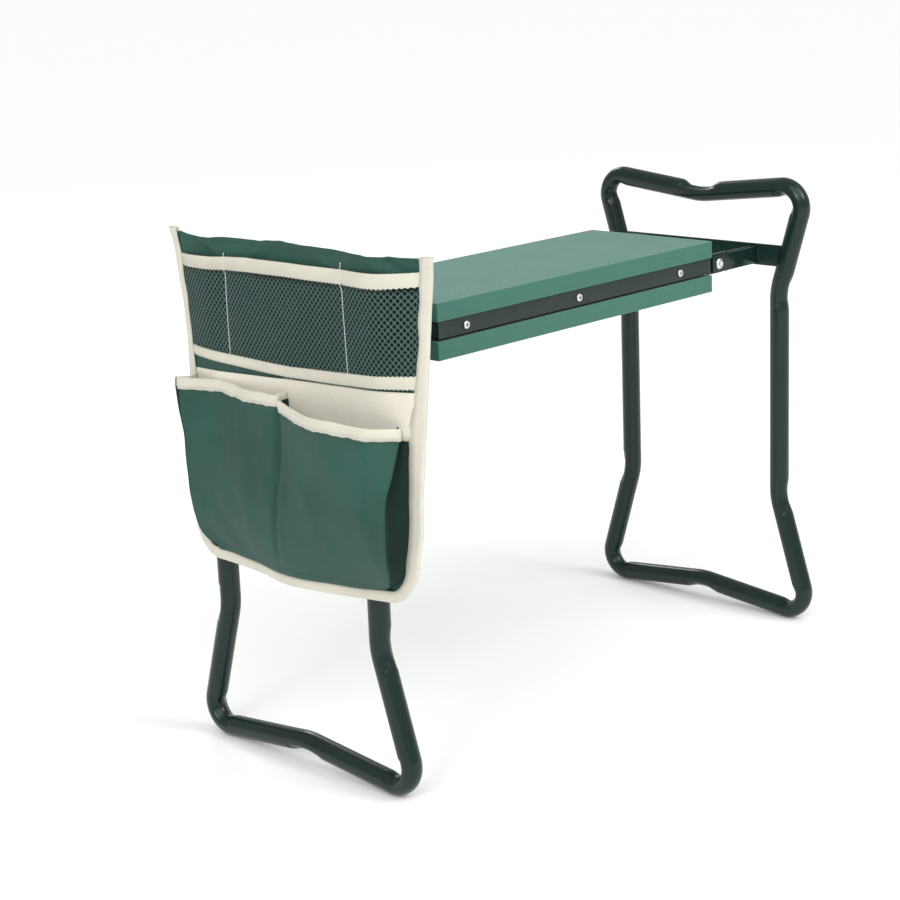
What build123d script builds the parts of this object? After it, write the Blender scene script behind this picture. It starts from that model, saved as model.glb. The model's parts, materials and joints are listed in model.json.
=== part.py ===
from build123d import *
import os

# Garden kneeler seat: a foam seat board hung between two folding tube loops, with a tool
# pouch on one handle. Millimetres. The origin is the centre of the seat's top face, +X runs
# along the seat away from the pouch, -Y is the front long side and +Z is up.

os.makedirs("parts", exist_ok=True)

# Seat sandwich
SEAT_LENGTH = 400
SEAT_WIDTH = 158
PAD_THICKNESS = 17
PAD_CORNER = 2
PAD_EDGE = 1.2
BAND_HEIGHT = 18
MID_Z = -(PAD_THICKNESS + BAND_HEIGHT / 2)
RAIL_LENGTH = 396
RAIL_REVEAL = 2.2
RAIL_Z = MID_Z + RAIL_REVEAL / 2
RAIL_HEIGHT = BAND_HEIGHT - RAIL_REVEAL
RAIL_FACE_Y = 78
RAIL_DEPTH = 16
END_RAIL_DEPTH = 10
SHEET = 1.5
SCREW_X = 155
SCREW_SHIFT = -8
SCREW_SPOTS = (SCREW_SHIFT - SCREW_X, SCREW_SHIFT, SCREW_SHIFT + SCREW_X)
SCREW_R = 2.5
SCREW_HEAD_R = 3.7

# Hinges
PIVOT_X = 218
LUG_OUTER_Y = 71
LUG_THICKNESS = 3
LUG_TIP_X = 241
LUG_TAIL = 6.2
RIVET_R = 3
STOP_R = 2.5
STOP_X = 15
STOP_DROP = 5
ARM_GAP = 0.3
ARM_WALL = 2.5
ARM_HEIGHT = 18

# Leg loops: the pouch end stands further out so the two loops stack flat when folded
TUBE_R = 10
TUBE_WALL = 1.2
LEFT_REACH = 89.5
RIGHT_REACH = 69
HANDLE_Y = 134
FOOT_Y = 139
KNEE_Y = 100
HANDLE_Z = 75
HANDLE_DIP = 15
UPPER_KNEE_Z = -36
LOWER_KNEE_Z = -258
FOOT_Z = -384
FOOT_RISE = 14
KINK_BEND = 80
CORNER_BEND = 21
KNEE_BEND = 68
PLATE_HEIGHT = 22
PLATE_THICKNESS = 3

# Tool pouch, measured outward from the plane of the left loop
POUCH_WIDTH = 298
POUCH_Y = -30
DIVIDER_Y = POUCH_Y + 6
POUCH_TOP = 95
POUCH_BOTTOM = -206
POUCH_CORNER = 36
BINDING = 10
SLEEVE_R = 15.8
SLEEVE_THICKNESS = 1.6
SLEEVE_LENGTH = 170
POUCH_REACH = 2.5
PANEL_INNER = 20.9
PANEL_THICKNESS = 2
SWING_Z = 65

LEFT_X = -(PIVOT_X + LEFT_REACH)
RIGHT_X = PIVOT_X + RIGHT_REACH
POUCH_X = LEFT_X + POUCH_REACH


def save(name, shape):
    shape.label = name
    export_step(shape, "parts/" + name + ".step")


# Foam pads
with BuildPart() as top_foam_pad:
    with BuildSketch(Plane.XY.offset(-PAD_THICKNESS)):
        RectangleRounded(SEAT_LENGTH, SEAT_WIDTH, PAD_CORNER)
    extrude(amount=PAD_THICKNESS)
    fillet(top_foam_pad.edges().group_by(Axis.Z)[-1], PAD_EDGE)
save("top_foam_pad", top_foam_pad.part)

with BuildPart() as bottom_foam_pad:
    with BuildSketch(Plane.XY.offset(MID_Z - BAND_HEIGHT / 2 - PAD_THICKNESS)):
        RectangleRounded(SEAT_LENGTH, SEAT_WIDTH, PAD_CORNER)
    extrude(amount=PAD_THICKNESS)
    fillet(bottom_foam_pad.edges().group_by(Axis.Z)[0], PAD_EDGE)
save("bottom_foam_pad", bottom_foam_pad.part)


# Steel channels round the seat's edge
def side_rail(side):
    with BuildPart() as rail:
        with BuildSketch(Plane.YZ.offset(-RAIL_LENGTH / 2)):
            with Locations((side * (RAIL_FACE_Y - RAIL_DEPTH / 2), RAIL_Z)):
                Rectangle(RAIL_DEPTH, RAIL_HEIGHT)
            with Locations((side * (RAIL_FACE_Y - SHEET - RAIL_DEPTH / 2), RAIL_Z)):
                Rectangle(RAIL_DEPTH, RAIL_HEIGHT - 2 * SHEET, mode=Mode.SUBTRACT)
        extrude(amount=RAIL_LENGTH)
        with Locations(*[(x, side * RAIL_FACE_Y, RAIL_Z) for x in SCREW_SPOTS]):
            Cylinder(SCREW_R + 0.15, 8, rotation=(90, 0, 0), mode=Mode.SUBTRACT)
    return rail.part


save("front_side_rail", side_rail(-1))
save("rear_side_rail", side_rail(1))

END_RAIL_LENGTH = 2 * (RAIL_FACE_Y - RAIL_DEPTH) - 0.4


def end_rail(side):
    with BuildPart() as rail:
        with Locations((side * (RAIL_LENGTH / 2 - END_RAIL_DEPTH / 2), 0, RAIL_Z)):
            Box(END_RAIL_DEPTH, END_RAIL_LENGTH, RAIL_HEIGHT)
        with Locations((side * (RAIL_LENGTH / 2 - SHEET - END_RAIL_DEPTH / 2), 0, RAIL_Z)):
            Box(END_RAIL_DEPTH, END_RAIL_LENGTH, RAIL_HEIGHT - 2 * SHEET, mode=Mode.SUBTRACT)
    return rail.part


save("left_end_rail", end_rail(-1))
save("right_end_rail", end_rail(1))

# Board inside the channels, rebated where the channel flanges lap over it
BOARD_LENGTH = RAIL_LENGTH - 2 * SHEET - 1
BOARD_WIDTH = 133
with BuildPart() as seat_core_board:
    with Locations((0, 0, RAIL_Z)):
        Box(BOARD_LENGTH, BOARD_WIDTH, RAIL_HEIGHT - 2 * SHEET - 0.1)
    with Locations((0, 0, MID_Z)):
        Box(RAIL_LENGTH - 2 * END_RAIL_DEPTH - 0.4, END_RAIL_LENGTH, BAND_HEIGHT)
    screw_spots = [(x, y, RAIL_Z) for x in SCREW_SPOTS for y in (-61, 61)]
    with Locations(*screw_spots):
        Cylinder(SCREW_R + 0.05, 14, rotation=(90, 0, 0), mode=Mode.SUBTRACT)
save("seat_core_board", seat_core_board.part)


# Hook lugs: tail inside the side channel, hooked head beyond the seat's end
def hinge_lug(end, side):
    face_y = side * (LUG_OUTER_Y - LUG_THICKNESS / 2)
    with BuildPart() as lug:
        with BuildSketch(Plane.XZ.offset(-face_y - LUG_THICKNESS / 2)):
            with BuildLine():
                Polyline(
                    (end * 140, RAIL_Z - LUG_TAIL),
                    (end * 200.8, RAIL_Z - LUG_TAIL),
                    (end * 204, MID_Z - 10),
                    (end * LUG_TIP_X, MID_Z - 10),
                    (end * LUG_TIP_X, MID_Z + 10),
                    (end * 204, MID_Z + 10),
                    (end * 200.8, RAIL_Z + LUG_TAIL),
                    (end * 140, RAIL_Z + LUG_TAIL),
                    close=True,
                )
            make_face()
        extrude(amount=LUG_THICKNESS)
        tip_edges = lug.edges().filter_by(Axis.Y).group_by(Axis.X)[-1 if end > 0 else 0]
        fillet(tip_edges, 6)
        with BuildSketch(Plane.XZ.offset(-face_y - LUG_THICKNESS / 2)):
            with Locations((end * PIVOT_X, MID_Z)):
                Circle(18.4)
                Circle(13.2, mode=Mode.SUBTRACT)
            with BuildLine():
                Polyline(
                    (end * PIVOT_X, MID_Z),
                    (end * (PIVOT_X + 30), MID_Z - 10),
                    (end * (PIVOT_X + 30), MID_Z - 40),
                    (end * (PIVOT_X + 5), MID_Z - 40),
                    close=True,
                )
            make_face(mode=Mode.INTERSECT)
            with Locations((end * (PIVOT_X + STOP_X), MID_Z - STOP_DROP)):
                Circle(STOP_R + 0.08)
        extrude(amount=LUG_THICKNESS, mode=Mode.SUBTRACT)
        with Locations((end * PIVOT_X, face_y, MID_Z)):
            Cylinder(RIVET_R + 0.05, 8, rotation=(90, 0, 0), mode=Mode.SUBTRACT)
        with Locations((end * SCREW_X + SCREW_SHIFT, face_y, RAIL_Z)):
            Cylinder(SCREW_R + 0.05, 8, rotation=(90, 0, 0), mode=Mode.SUBTRACT)
    return lug.part


save("left_front_lug", hinge_lug(-1, -1))
save("left_rear_lug", hinge_lug(-1, 1))
save("right_front_lug", hinge_lug(1, -1))
save("right_rear_lug", hinge_lug(1, 1))


# Pan-head screws through each side channel
def side_screws(side):
    with BuildPart() as screws:
        with Locations(*[(x, side * (RAIL_FACE_Y - 11), RAIL_Z) for x in SCREW_SPOTS]):
            Cylinder(SCREW_R, 22, rotation=(90, 0, 0))
        with Locations(*[(x, side * (RAIL_FACE_Y + 1), RAIL_Z) for x in SCREW_SPOTS]):
            Cylinder(SCREW_HEAD_R, 2, rotation=(90, 0, 0))
        rims = screws.edges().filter_by(GeomType.CIRCLE).group_by(Axis.Y)[-1 if side > 0 else 0]
        fillet(rims, 0.9)
        with Locations(*[(x, side * (RAIL_FACE_Y + 2), RAIL_Z) for x in SCREW_SPOTS]):
            Box(4.2, 2, 0.9, mode=Mode.SUBTRACT)
            Box(0.9, 2, 4.2, mode=Mode.SUBTRACT)
    return screws.part


save("front_side_screws", side_screws(-1))
save("rear_side_screws", side_screws(1))


def lug_spacers(side):
    length = RAIL_FACE_Y - SHEET - LUG_OUTER_Y - 0.1
    middle = side * (LUG_OUTER_Y + 0.05 + length / 2)
    with BuildPart() as spacers:
        with Locations((SCREW_SPOTS[0], middle, RAIL_Z), (SCREW_SPOTS[2], middle, RAIL_Z)):
            Cylinder(5, length, rotation=(90, 0, 0))
            Cylinder(SCREW_R + 0.1, length + 2, rotation=(90, 0, 0), mode=Mode.SUBTRACT)
    return spacers.part


save("front_lug_spacers", lug_spacers(-1))
save("rear_lug_spacers", lug_spacers(1))


# Closed tube loop: kinked handle above, waist at the seat, kinked foot bar below
def leg_loop(x):
    outline = [
        (0, MID_Z + HANDLE_Z - HANDLE_DIP),
        (HANDLE_Y, MID_Z + HANDLE_Z),
        (KNEE_Y, MID_Z + UPPER_KNEE_Z),
        (KNEE_Y, MID_Z + LOWER_KNEE_Z),
        (FOOT_Y, MID_Z + FOOT_Z),
        (0, MID_Z + FOOT_Z + FOOT_RISE),
        (-FOOT_Y, MID_Z + FOOT_Z),
        (-KNEE_Y, MID_Z + LOWER_KNEE_Z),
        (-KNEE_Y, MID_Z + UPPER_KNEE_Z),
        (-HANDLE_Y, MID_Z + HANDLE_Z),
    ]
    side = [CORNER_BEND, KNEE_BEND, KNEE_BEND, CORNER_BEND]
    bends = [KINK_BEND, *side, KINK_BEND, *side]
    start = (KNEE_Y, MID_Z + (UPPER_KNEE_Z + LOWER_KNEE_Z) / 2)
    with BuildPart() as loop:
        with BuildLine(Plane.YZ.offset(x)) as path:
            FilletPolyline(*outline, radius=bends, close=True)
        with BuildSketch(Plane(origin=(x, start[0], start[1]), z_dir=(0, 0, 1))):
            Circle(TUBE_R)
            Circle(TUBE_R - TUBE_WALL, mode=Mode.SUBTRACT)
        sweep(path=path.wire())
    return loop.part


save("left_leg_loop", leg_loop(LEFT_X))
save("right_leg_loop", leg_loop(RIGHT_X))


# Flat cross plate welded between the two uprights at seat level
def cross_plate(x):
    lean = (HANDLE_Y - KNEE_Y) / (HANDLE_Z - UPPER_KNEE_Z)
    reach = TUBE_R * (1 + lean**2) ** 0.5 + 0.03
    half = PLATE_HEIGHT / 2
    waist = KNEE_Y - lean * UPPER_KNEE_Z
    with BuildPart() as plate:
        with BuildSketch(Plane.YZ.offset(x - PLATE_THICKNESS / 2)):
            with BuildLine():
                Polyline(
                    (waist + lean * half - reach, MID_Z + half),
                    (waist - lean * half - reach, MID_Z - half),
                    (-waist + lean * half + reach, MID_Z - half),
                    (-waist - lean * half + reach, MID_Z + half),
                    close=True,
                )
            make_face()
        extrude(amount=PLATE_THICKNESS)
    return plate.part


save("left_cross_plate", cross_plate(LEFT_X))
save("right_cross_plate", cross_plate(RIGHT_X))

OUTER_WALL_Y = LUG_OUTER_Y + ARM_GAP
INNER_WALL_Y = LUG_OUTER_Y - LUG_THICKNESS - ARM_GAP - ARM_WALL
ARM_MIDDLE_Y = (OUTER_WALL_Y + ARM_WALL + INNER_WALL_Y) / 2
ARM_WIDTH = OUTER_WALL_Y + ARM_WALL - INNER_WALL_Y


# U-shaped hinge arm: two walls either side of the lug, closed against the cross plate
def hinge_arm(end, side, reach):
    plate_face = PIVOT_X + reach - PLATE_THICKNESS / 2 - 0.02
    bare = plate_face - PIVOT_X
    with BuildPart() as arm:
        with BuildSketch(Plane.XZ.offset(-side * ARM_MIDDLE_Y - ARM_WIDTH / 2)):
            with Locations((end * PIVOT_X, MID_Z)):
                Circle(ARM_HEIGHT / 2)
            with Locations((end * (PIVOT_X + bare / 2), MID_Z)):
                Rectangle(bare, ARM_HEIGHT)
        extrude(amount=ARM_WIDTH)
        with Locations((end * (PIVOT_X + (bare - ARM_WALL) / 2 - 10), side * ARM_MIDDLE_Y, MID_Z)):
            Box(
                bare - ARM_WALL + 20,
                ARM_WIDTH - 2 * ARM_WALL,
                ARM_HEIGHT + 2,
                mode=Mode.SUBTRACT,
            )
        with Locations((end * PIVOT_X, side * ARM_MIDDLE_Y, MID_Z)):
            Cylinder(RIVET_R + 0.03, 20, rotation=(90, 0, 0), mode=Mode.SUBTRACT)
    return arm.part


def hinge_rivets(end):
    middle = ARM_MIDDLE_Y
    with BuildPart() as rivets:
        with Locations((end * PIVOT_X, -middle, MID_Z), (end * PIVOT_X, middle, MID_Z)):
            Cylinder(RIVET_R, ARM_WIDTH + 1, rotation=(90, 0, 0))
        for side in (-1, 1):
            with Locations((end * PIVOT_X, side * (OUTER_WALL_Y + ARM_WALL + 1.32), MID_Z)):
                Cylinder(5.7, 2.6, rotation=(90, 0, 0))
            with Locations((end * PIVOT_X, side * (INNER_WALL_Y - 0.92), MID_Z)):
                Cylinder(4.8, 1.8, rotation=(90, 0, 0))
        fillet(rivets.edges().filter_by(GeomType.CIRCLE).group_by(Axis.Y)[0], 1.8)
        fillet(rivets.edges().filter_by(GeomType.CIRCLE).group_by(Axis.Y)[-1], 1.8)
    return rivets.part


def stop_pins(end):
    spots = []
    for side in (-1, 1):
        spots.append((end * (PIVOT_X + STOP_X), side * ARM_MIDDLE_Y, MID_Z - STOP_DROP))
    with BuildPart() as pins:
        with Locations(*spots):
            Cylinder(STOP_R, ARM_WIDTH - 2 * ARM_WALL - 0.04, rotation=(90, 0, 0))
    return pins.part


save("left_front_arm", hinge_arm(-1, -1, LEFT_REACH))
save("left_rear_arm", hinge_arm(-1, 1, LEFT_REACH))
save("right_front_arm", hinge_arm(1, -1, RIGHT_REACH))
save("right_rear_arm", hinge_arm(1, 1, RIGHT_REACH))
save("left_hinge_rivets", hinge_rivets(-1))
save("right_hinge_rivets", hinge_rivets(1))
save("left_stop_pins", stop_pins(-1))
save("right_stop_pins", stop_pins(1))


# Tool pouch. The helpers below take depth as the distance outward from POUCH_X.
def outline(inset, top):
    half = POUCH_WIDTH / 2 - inset
    bottom = MID_Z + POUCH_BOTTOM + inset
    bend = POUCH_CORNER - inset
    with BuildSketch() as shape:
        with BuildLine():
            FilletPolyline(
                (POUCH_Y - half, top),
                (POUCH_Y - half, bottom),
                (POUCH_Y + half, bottom),
                (POUCH_Y + half, top),
                radius=[0, bend, bend, 0],
                close=True,
            )
        make_face()
    return shape.sketch


def slab(inset, top, near, far):
    with BuildPart() as block:
        with BuildSketch(Plane.YZ.offset(POUCH_X - far)):
            add(outline(inset, top))
        extrude(amount=far - near)
    return block.part


PANEL_OUTER = PANEL_INNER + PANEL_THICKNESS
TOP_Z = MID_Z + POUCH_TOP
with BuildPart() as pouch_back_panel:
    add(slab(1.05, TOP_Z, PANEL_INNER, PANEL_OUTER))
save("pouch_back_panel", pouch_back_panel.part)

with BuildPart() as pouch_edge_binding:
    add(slab(0, TOP_Z + 3, PANEL_INNER - 1.05, PANEL_OUTER + 1.05))
    add(slab(BINDING, TOP_Z + 30, PANEL_INNER - 2, PANEL_OUTER + 2), mode=Mode.SUBTRACT)
    add(slab(1, TOP_Z + 30, PANEL_INNER - 0.05, PANEL_OUTER + 0.05), mode=Mode.SUBTRACT)
save("pouch_edge_binding", pouch_edge_binding.part)

# Sleeve: over the handle, back underneath and down the panel's inner face
SLEEVE_MID = SLEEVE_R + SLEEVE_THICKNESS / 2
HOOP_Z = MID_Z + SWING_Z
TAIL_X = LEFT_X - 15
with BuildPart() as pouch_handle_sleeve:
    with BuildSketch(Plane.XZ.offset(SLEEVE_LENGTH / 2)):
        with BuildLine():
            Line((LEFT_X - SLEEVE_MID, HOOP_Z - 14), (LEFT_X - SLEEVE_MID, HOOP_Z))
            ThreePointArc(
                (LEFT_X - SLEEVE_MID, HOOP_Z),
                (LEFT_X, HOOP_Z + SLEEVE_MID),
                (LEFT_X + SLEEVE_MID, HOOP_Z),
            )
            RadiusArc(
                (LEFT_X + SLEEVE_MID, HOOP_Z),
                (LEFT_X, HOOP_Z - SLEEVE_MID),
                SLEEVE_MID,
            )
            Line((LEFT_X, HOOP_Z - SLEEVE_MID), (TAIL_X + 5, HOOP_Z - SLEEVE_MID))
            RadiusArc(
                (TAIL_X + 5, HOOP_Z - SLEEVE_MID),
                (TAIL_X, HOOP_Z - SLEEVE_MID - 5),
                -5,
            )
            Line((TAIL_X, HOOP_Z - SLEEVE_MID - 5), (TAIL_X, MID_Z + 17))
        trace(line_width=SLEEVE_THICKNESS)
    extrude(amount=-SLEEVE_LENGTH)
save("pouch_handle_sleeve", pouch_handle_sleeve.part)

FASTENER_HEIGHT = 24
FASTENER_Z = MID_Z + 30
with BuildPart() as pouch_loop_strip:
    with Locations((POUCH_X - 20.25, 0, FASTENER_Z)):
        Box(1.2, SLEEVE_LENGTH - 10, FASTENER_HEIGHT)
save("pouch_loop_strip", pouch_loop_strip.part)

with BuildPart() as pouch_hook_strip:
    with Locations((POUCH_X - 18.95, 0, FASTENER_Z)):
        Box(1.2, SLEEVE_LENGTH - 14, FASTENER_HEIGHT)
save("pouch_hook_strip", pouch_hook_strip.part)

INNER_HALF = POUCH_WIDTH / 2 - BINDING - 0.2
MESH_TOP = MID_Z + 64
MESH_BOTTOM = MID_Z - 11.9
WEBBING_TOP = MID_Z + 77
LOWER_WEBBING_BOTTOM = MID_Z - 23


# Sheet bulging forward between three stitch lines, seen from above
def mesh_curve(depth):
    seams = [-INNER_HALF, -70, 78, INNER_HALF]
    points = []
    for left, right in zip(seams[:-1], seams[1:]):
        points.append((POUCH_X - depth, POUCH_Y + left))
        middle = POUCH_Y + (left + right) / 2
        points.append((POUCH_X - depth - 4.5, middle))
    points.append((POUCH_X - depth, POUCH_Y + INNER_HALF))
    return points


def bulged_sheet(thickness, bottom, top):
    near = mesh_curve(PANEL_OUTER + 0.6)
    far = mesh_curve(PANEL_OUTER + 0.6 + thickness)
    with BuildPart() as sheet:
        with BuildSketch(Plane.XY.offset(bottom)):
            with BuildLine():
                for start in (0, 2, 4):
                    ThreePointArc(*near[start : start + 3])
                    ThreePointArc(*far[start : start + 3])
                Line(near[0], far[0])
                Line(near[-1], far[-1])
            make_face()
        extrude(amount=top - bottom)
    return sheet.part


save("mesh_pocket", bulged_sheet(0.8, MESH_BOTTOM, MESH_TOP - 0.05))
save("upper_webbing", bulged_sheet(1.4, MESH_TOP, WEBBING_TOP))

with BuildPart() as lower_webbing:
    with Locations((POUCH_X - PANEL_OUTER - 0.8, POUCH_Y, LOWER_WEBBING_BOTTOM + 5.5)):
        Box(1.4, 2 * INNER_HALF, 11)
save("lower_webbing", lower_webbing.part)

LINING_TOP = MID_Z - 24.5
with BuildPart() as pocket_lining:
    add(slab(BINDING + 0.2, LINING_TOP, PANEL_OUTER + 0.05, PANEL_OUTER + 0.85))
save("pocket_lining", pocket_lining.part)

# Two-bay pocket front. Each level: height, half width, then the depth at the rear edge, rear
# bay, divider, front bay and front edge.
POCKET_LEVELS = [
    (-47, 137, 42, 37, 37, 58, 42),
    (-100, 137, 38, 40, 39, 60, 50),
    (-150, 135, 31, 36, 36, 52, 46),
    (-194, 110, 26, 28, 28, 31, 27),
]
POCKET_TOP = -38
LINING_FACE = PANEL_OUTER + 0.9
CLOTH = 1.1


def bay_face(level, trim):
    z, half, rear, rear_bay, middle, front_bay, front = level
    rear_y = POUCH_Y + half
    front_y = POUCH_Y - half
    with BuildSketch(Plane.XY.offset(MID_Z + z)) as face:
        with BuildLine():
            Spline(
                (POUCH_X - front + trim, front_y),
                (POUCH_X - front_bay + trim, (front_y + DIVIDER_Y) / 2),
                (POUCH_X - middle + trim, DIVIDER_Y),
                (POUCH_X - rear_bay + trim, (rear_y + DIVIDER_Y) / 2),
                (POUCH_X - rear + trim, rear_y),
            )
            Line((POUCH_X - rear + trim, rear_y), (POUCH_X - 10, rear_y))
            Line((POUCH_X - 10, rear_y), (POUCH_X - 10, front_y))
            Line((POUCH_X - 10, front_y), (POUCH_X - front + trim, front_y))
        make_face()
    return face.sketch


def bay_sheet(levels):
    with BuildPart() as inner:
        loft([bay_face(level, CLOTH) for level in levels])
    with BuildPart() as sheet:
        loft([bay_face(level, 0) for level in levels])
        add(inner.part, mode=Mode.SUBTRACT)
    return sheet.part


save("pocket_front", bay_sheet(POCKET_LEVELS))


# Bound rim along the pocket's mouth, a little thicker than the cloth below it
def rim_sheet():
    depths = POCKET_LEVELS[0][1:]
    top_level = (POCKET_TOP, *depths)
    low_level = (POCKET_LEVELS[0][0] + 0.05, *depths)
    with BuildPart() as inner:
        loft([bay_face(low_level, CLOTH + 0.5), bay_face(top_level, CLOTH + 0.5)])
    with BuildPart() as rim:
        loft([bay_face(low_level, -0.5), bay_face(top_level, -0.5)])
        add(inner.part, mode=Mode.SUBTRACT)
    return rim.part


save("pocket_binding", rim_sheet())


# Pleated side wall folded inward half way between the lining and the front
def gusset_face(side, z, half, depth):
    outer = half + 1.5
    front = depth - CLOTH - 1
    fold = (LINING_FACE + front) / 2
    with BuildSketch(Plane.XY.offset(MID_Z + z)) as face:
        with BuildLine():
            Polyline(
                (POUCH_X - LINING_FACE, POUCH_Y + side * outer),
                (POUCH_X - fold, POUCH_Y + side * (outer - 9)),
                (POUCH_X - front, POUCH_Y + side * outer),
                (POUCH_X - front, POUCH_Y + side * (outer - 1.2)),
                (POUCH_X - fold, POUCH_Y + side * (outer - 10.2)),
                (POUCH_X - LINING_FACE, POUCH_Y + side * (outer - 1.2)),
                close=True,
            )
        make_face()
    return face.sketch


def pocket_gusset(side):
    depth_index = 2 if side > 0 else 6
    with BuildPart() as wall:
        levels = [(lev[0], lev[1], lev[depth_index]) for lev in POCKET_LEVELS[:3]]
        loft([gusset_face(side, z, half, depth) for z, half, depth in levels], ruled=True)
    return wall.part


save("pocket_front_gusset", pocket_gusset(-1))
save("pocket_rear_gusset", pocket_gusset(1))

with BuildPart() as pocket_divider:
    with BuildSketch(Plane.XZ.offset(-DIVIDER_Y - 0.5)):
        with BuildLine():
            Polyline(
                (POUCH_X - LINING_FACE, MID_Z - 50),
                (POUCH_X - 34.5, MID_Z - 50),
                (POUCH_X - 36, MID_Z - 100),
                (POUCH_X - 33, MID_Z - 150),
                (POUCH_X - 25, MID_Z - 188),
                (POUCH_X - LINING_FACE, MID_Z - 188),
                close=True,
            )
        make_face()
    extrude(amount=1)
save("pocket_divider", pocket_divider.part)
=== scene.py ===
"""Garden kneeler seat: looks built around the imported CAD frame. Metres in Blender; the pieces
below are laid out in millimetres and scaled once, when each mesh is made."""

import json
import math

import bpy
import numpy as np
from mathutils import Matrix, Vector


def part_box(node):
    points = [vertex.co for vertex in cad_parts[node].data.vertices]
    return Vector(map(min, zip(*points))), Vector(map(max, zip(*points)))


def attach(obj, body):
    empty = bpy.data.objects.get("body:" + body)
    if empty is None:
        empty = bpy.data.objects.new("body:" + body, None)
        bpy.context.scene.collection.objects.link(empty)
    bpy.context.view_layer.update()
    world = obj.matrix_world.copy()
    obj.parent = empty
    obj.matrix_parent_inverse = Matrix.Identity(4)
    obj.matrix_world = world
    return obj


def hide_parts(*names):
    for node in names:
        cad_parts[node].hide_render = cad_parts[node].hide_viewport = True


MM = 0.001
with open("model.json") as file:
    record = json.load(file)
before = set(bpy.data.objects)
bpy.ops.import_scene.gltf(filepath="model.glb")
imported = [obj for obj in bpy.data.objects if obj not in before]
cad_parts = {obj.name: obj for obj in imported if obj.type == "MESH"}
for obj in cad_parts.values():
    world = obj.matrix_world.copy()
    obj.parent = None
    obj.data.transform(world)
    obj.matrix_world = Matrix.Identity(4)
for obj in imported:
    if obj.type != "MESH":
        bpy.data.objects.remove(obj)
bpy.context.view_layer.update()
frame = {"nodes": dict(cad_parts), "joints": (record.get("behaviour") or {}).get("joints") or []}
rng = np.random.default_rng(7)


# ---- places read from the frame
def box_mm(node):
    low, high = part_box(node)
    return np.array(low) / MM, np.array(high) / MM


def centre_mm(node):
    low, high = box_mm(node)
    return (low + high) / 2


def joint_mm(name):
    joint = next(j for j in frame["joints"] if j["name"] == name)
    return np.array(joint["pos_m"]) / MM


LEFT_X = centre_mm("left_leg_loop")[0]
RIGHT_X = centre_mm("right_leg_loop")[0]
PIVOT_X = joint_mm("right_leg_fold")[0]
MID_Z = centre_mm("left_cross_plate")[2]
# The pouch: heights are above MID_Z, CORNER rounds its bottom corners, HOOP_Z is the handle
POUCH_Y = centre_mm("pouch_edge_binding")[1]
PANEL_LOW, PANEL_HIGH = box_mm("pouch_back_panel")
PANEL_T = 21.9
POUCH_X = (PANEL_LOW[0] + PANEL_HIGH[0]) / 2 + PANEL_T
PANEL_TOP = PANEL_HIGH[2] - MID_Z
TAPE_LOW, TAPE_HIGH = box_mm("pouch_edge_binding")
HALF = (TAPE_HIGH[1] - TAPE_LOW[1]) / 2
BOTTOM = TAPE_LOW[2] - MID_Z
EAR_TOP = TAPE_HIGH[2] - MID_Z
CORNER = 36.0
HOOP_Z = joint_mm("pouch_swing")[2] - MID_Z
DIVIDER = centre_mm("pocket_divider")[1] - POUCH_Y


# ---- node materials
def shade(colour, factor):
    return tuple(min(1.0, c * factor) for c in colour)


class Shader:
    """One Principled material and short ways to add nodes to it."""

    # Input and output numbers of the mix node for each data type: factor, a, b, result
    MIX = {"RGBA": (0, 6, 7, 2), "FLOAT": (0, 2, 3, 0)}

    def __init__(self, name):
        self.material = bpy.data.materials.new(name)
        self.material.use_nodes = True
        self.tree = self.material.node_tree
        self.bsdf = self.tree.nodes["Principled BSDF"]

    def feed(self, socket, value):
        """Joins another node's output to socket, or sets the socket's own value."""
        if isinstance(value, bpy.types.NodeSocket):
            self.tree.links.new(value, socket)
        elif socket.type == "RGBA" and len(value) == 3:
            socket.default_value = (*value, 1)
        else:
            socket.default_value = value

    def fill(self, node, values):
        for key, value in values.items():
            self.feed(node.inputs[key.replace("_", " ")], value)
        return node

    def add(self, kind, **values):
        return self.fill(self.tree.nodes.new(kind), values)

    def put(self, **values):
        self.fill(self.bsdf, values)

    def coords(self, kind="Object"):
        return self.add("ShaderNodeTexCoord").outputs[kind]

    def split(self, vector):
        return self.add("ShaderNodeSeparateXYZ", Vector=vector).outputs

    def math(self, operation, a, b=0.0):
        made = self.add("ShaderNodeMath")
        made.operation = operation
        self.feed(made.inputs[0], a)
        self.feed(made.inputs[1], b)
        return made.outputs[0]

    def noise(self, vector, scale, detail=3.0, rough=0.55):
        values = {"Vector": vector, "Scale": scale, "Detail": detail, "Roughness": rough}
        return self.add("ShaderNodeTexNoise", **values).outputs[0]

    def ramp(self, value, low, high, start=0.0, end=1.0):
        values = {"From_Min": start, "From_Max": end, "To_Min": low, "To_Max": high}
        return self.add("ShaderNodeMapRange", Value=value, **values).outputs[0]

    def mix(self, factor, a, b, kind="RGBA"):
        made = self.add("ShaderNodeMix")
        made.data_type = kind
        *inputs, result = self.MIX[kind]
        for number, value in zip(inputs, (factor, a, b)):
            self.feed(made.inputs[number], value)
        return made.outputs[result]

    def vary(self, value, colour, dark, light, start=0.3, end=0.7):
        """The colour, darker where value is below start and lighter where it is above end."""
        return self.mix(
            self.ramp(value, 0.0, 1.0, start, end), shade(colour, dark), shade(colour, light)
        )

    def bump(self, height, distance, strength=1.0, under=None):
        made = self.add("ShaderNodeBump", Height=height, Distance=distance, Strength=strength)
        if under is not None:
            self.feed(made.inputs["Normal"], under)
        return made.outputs[0]


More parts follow.
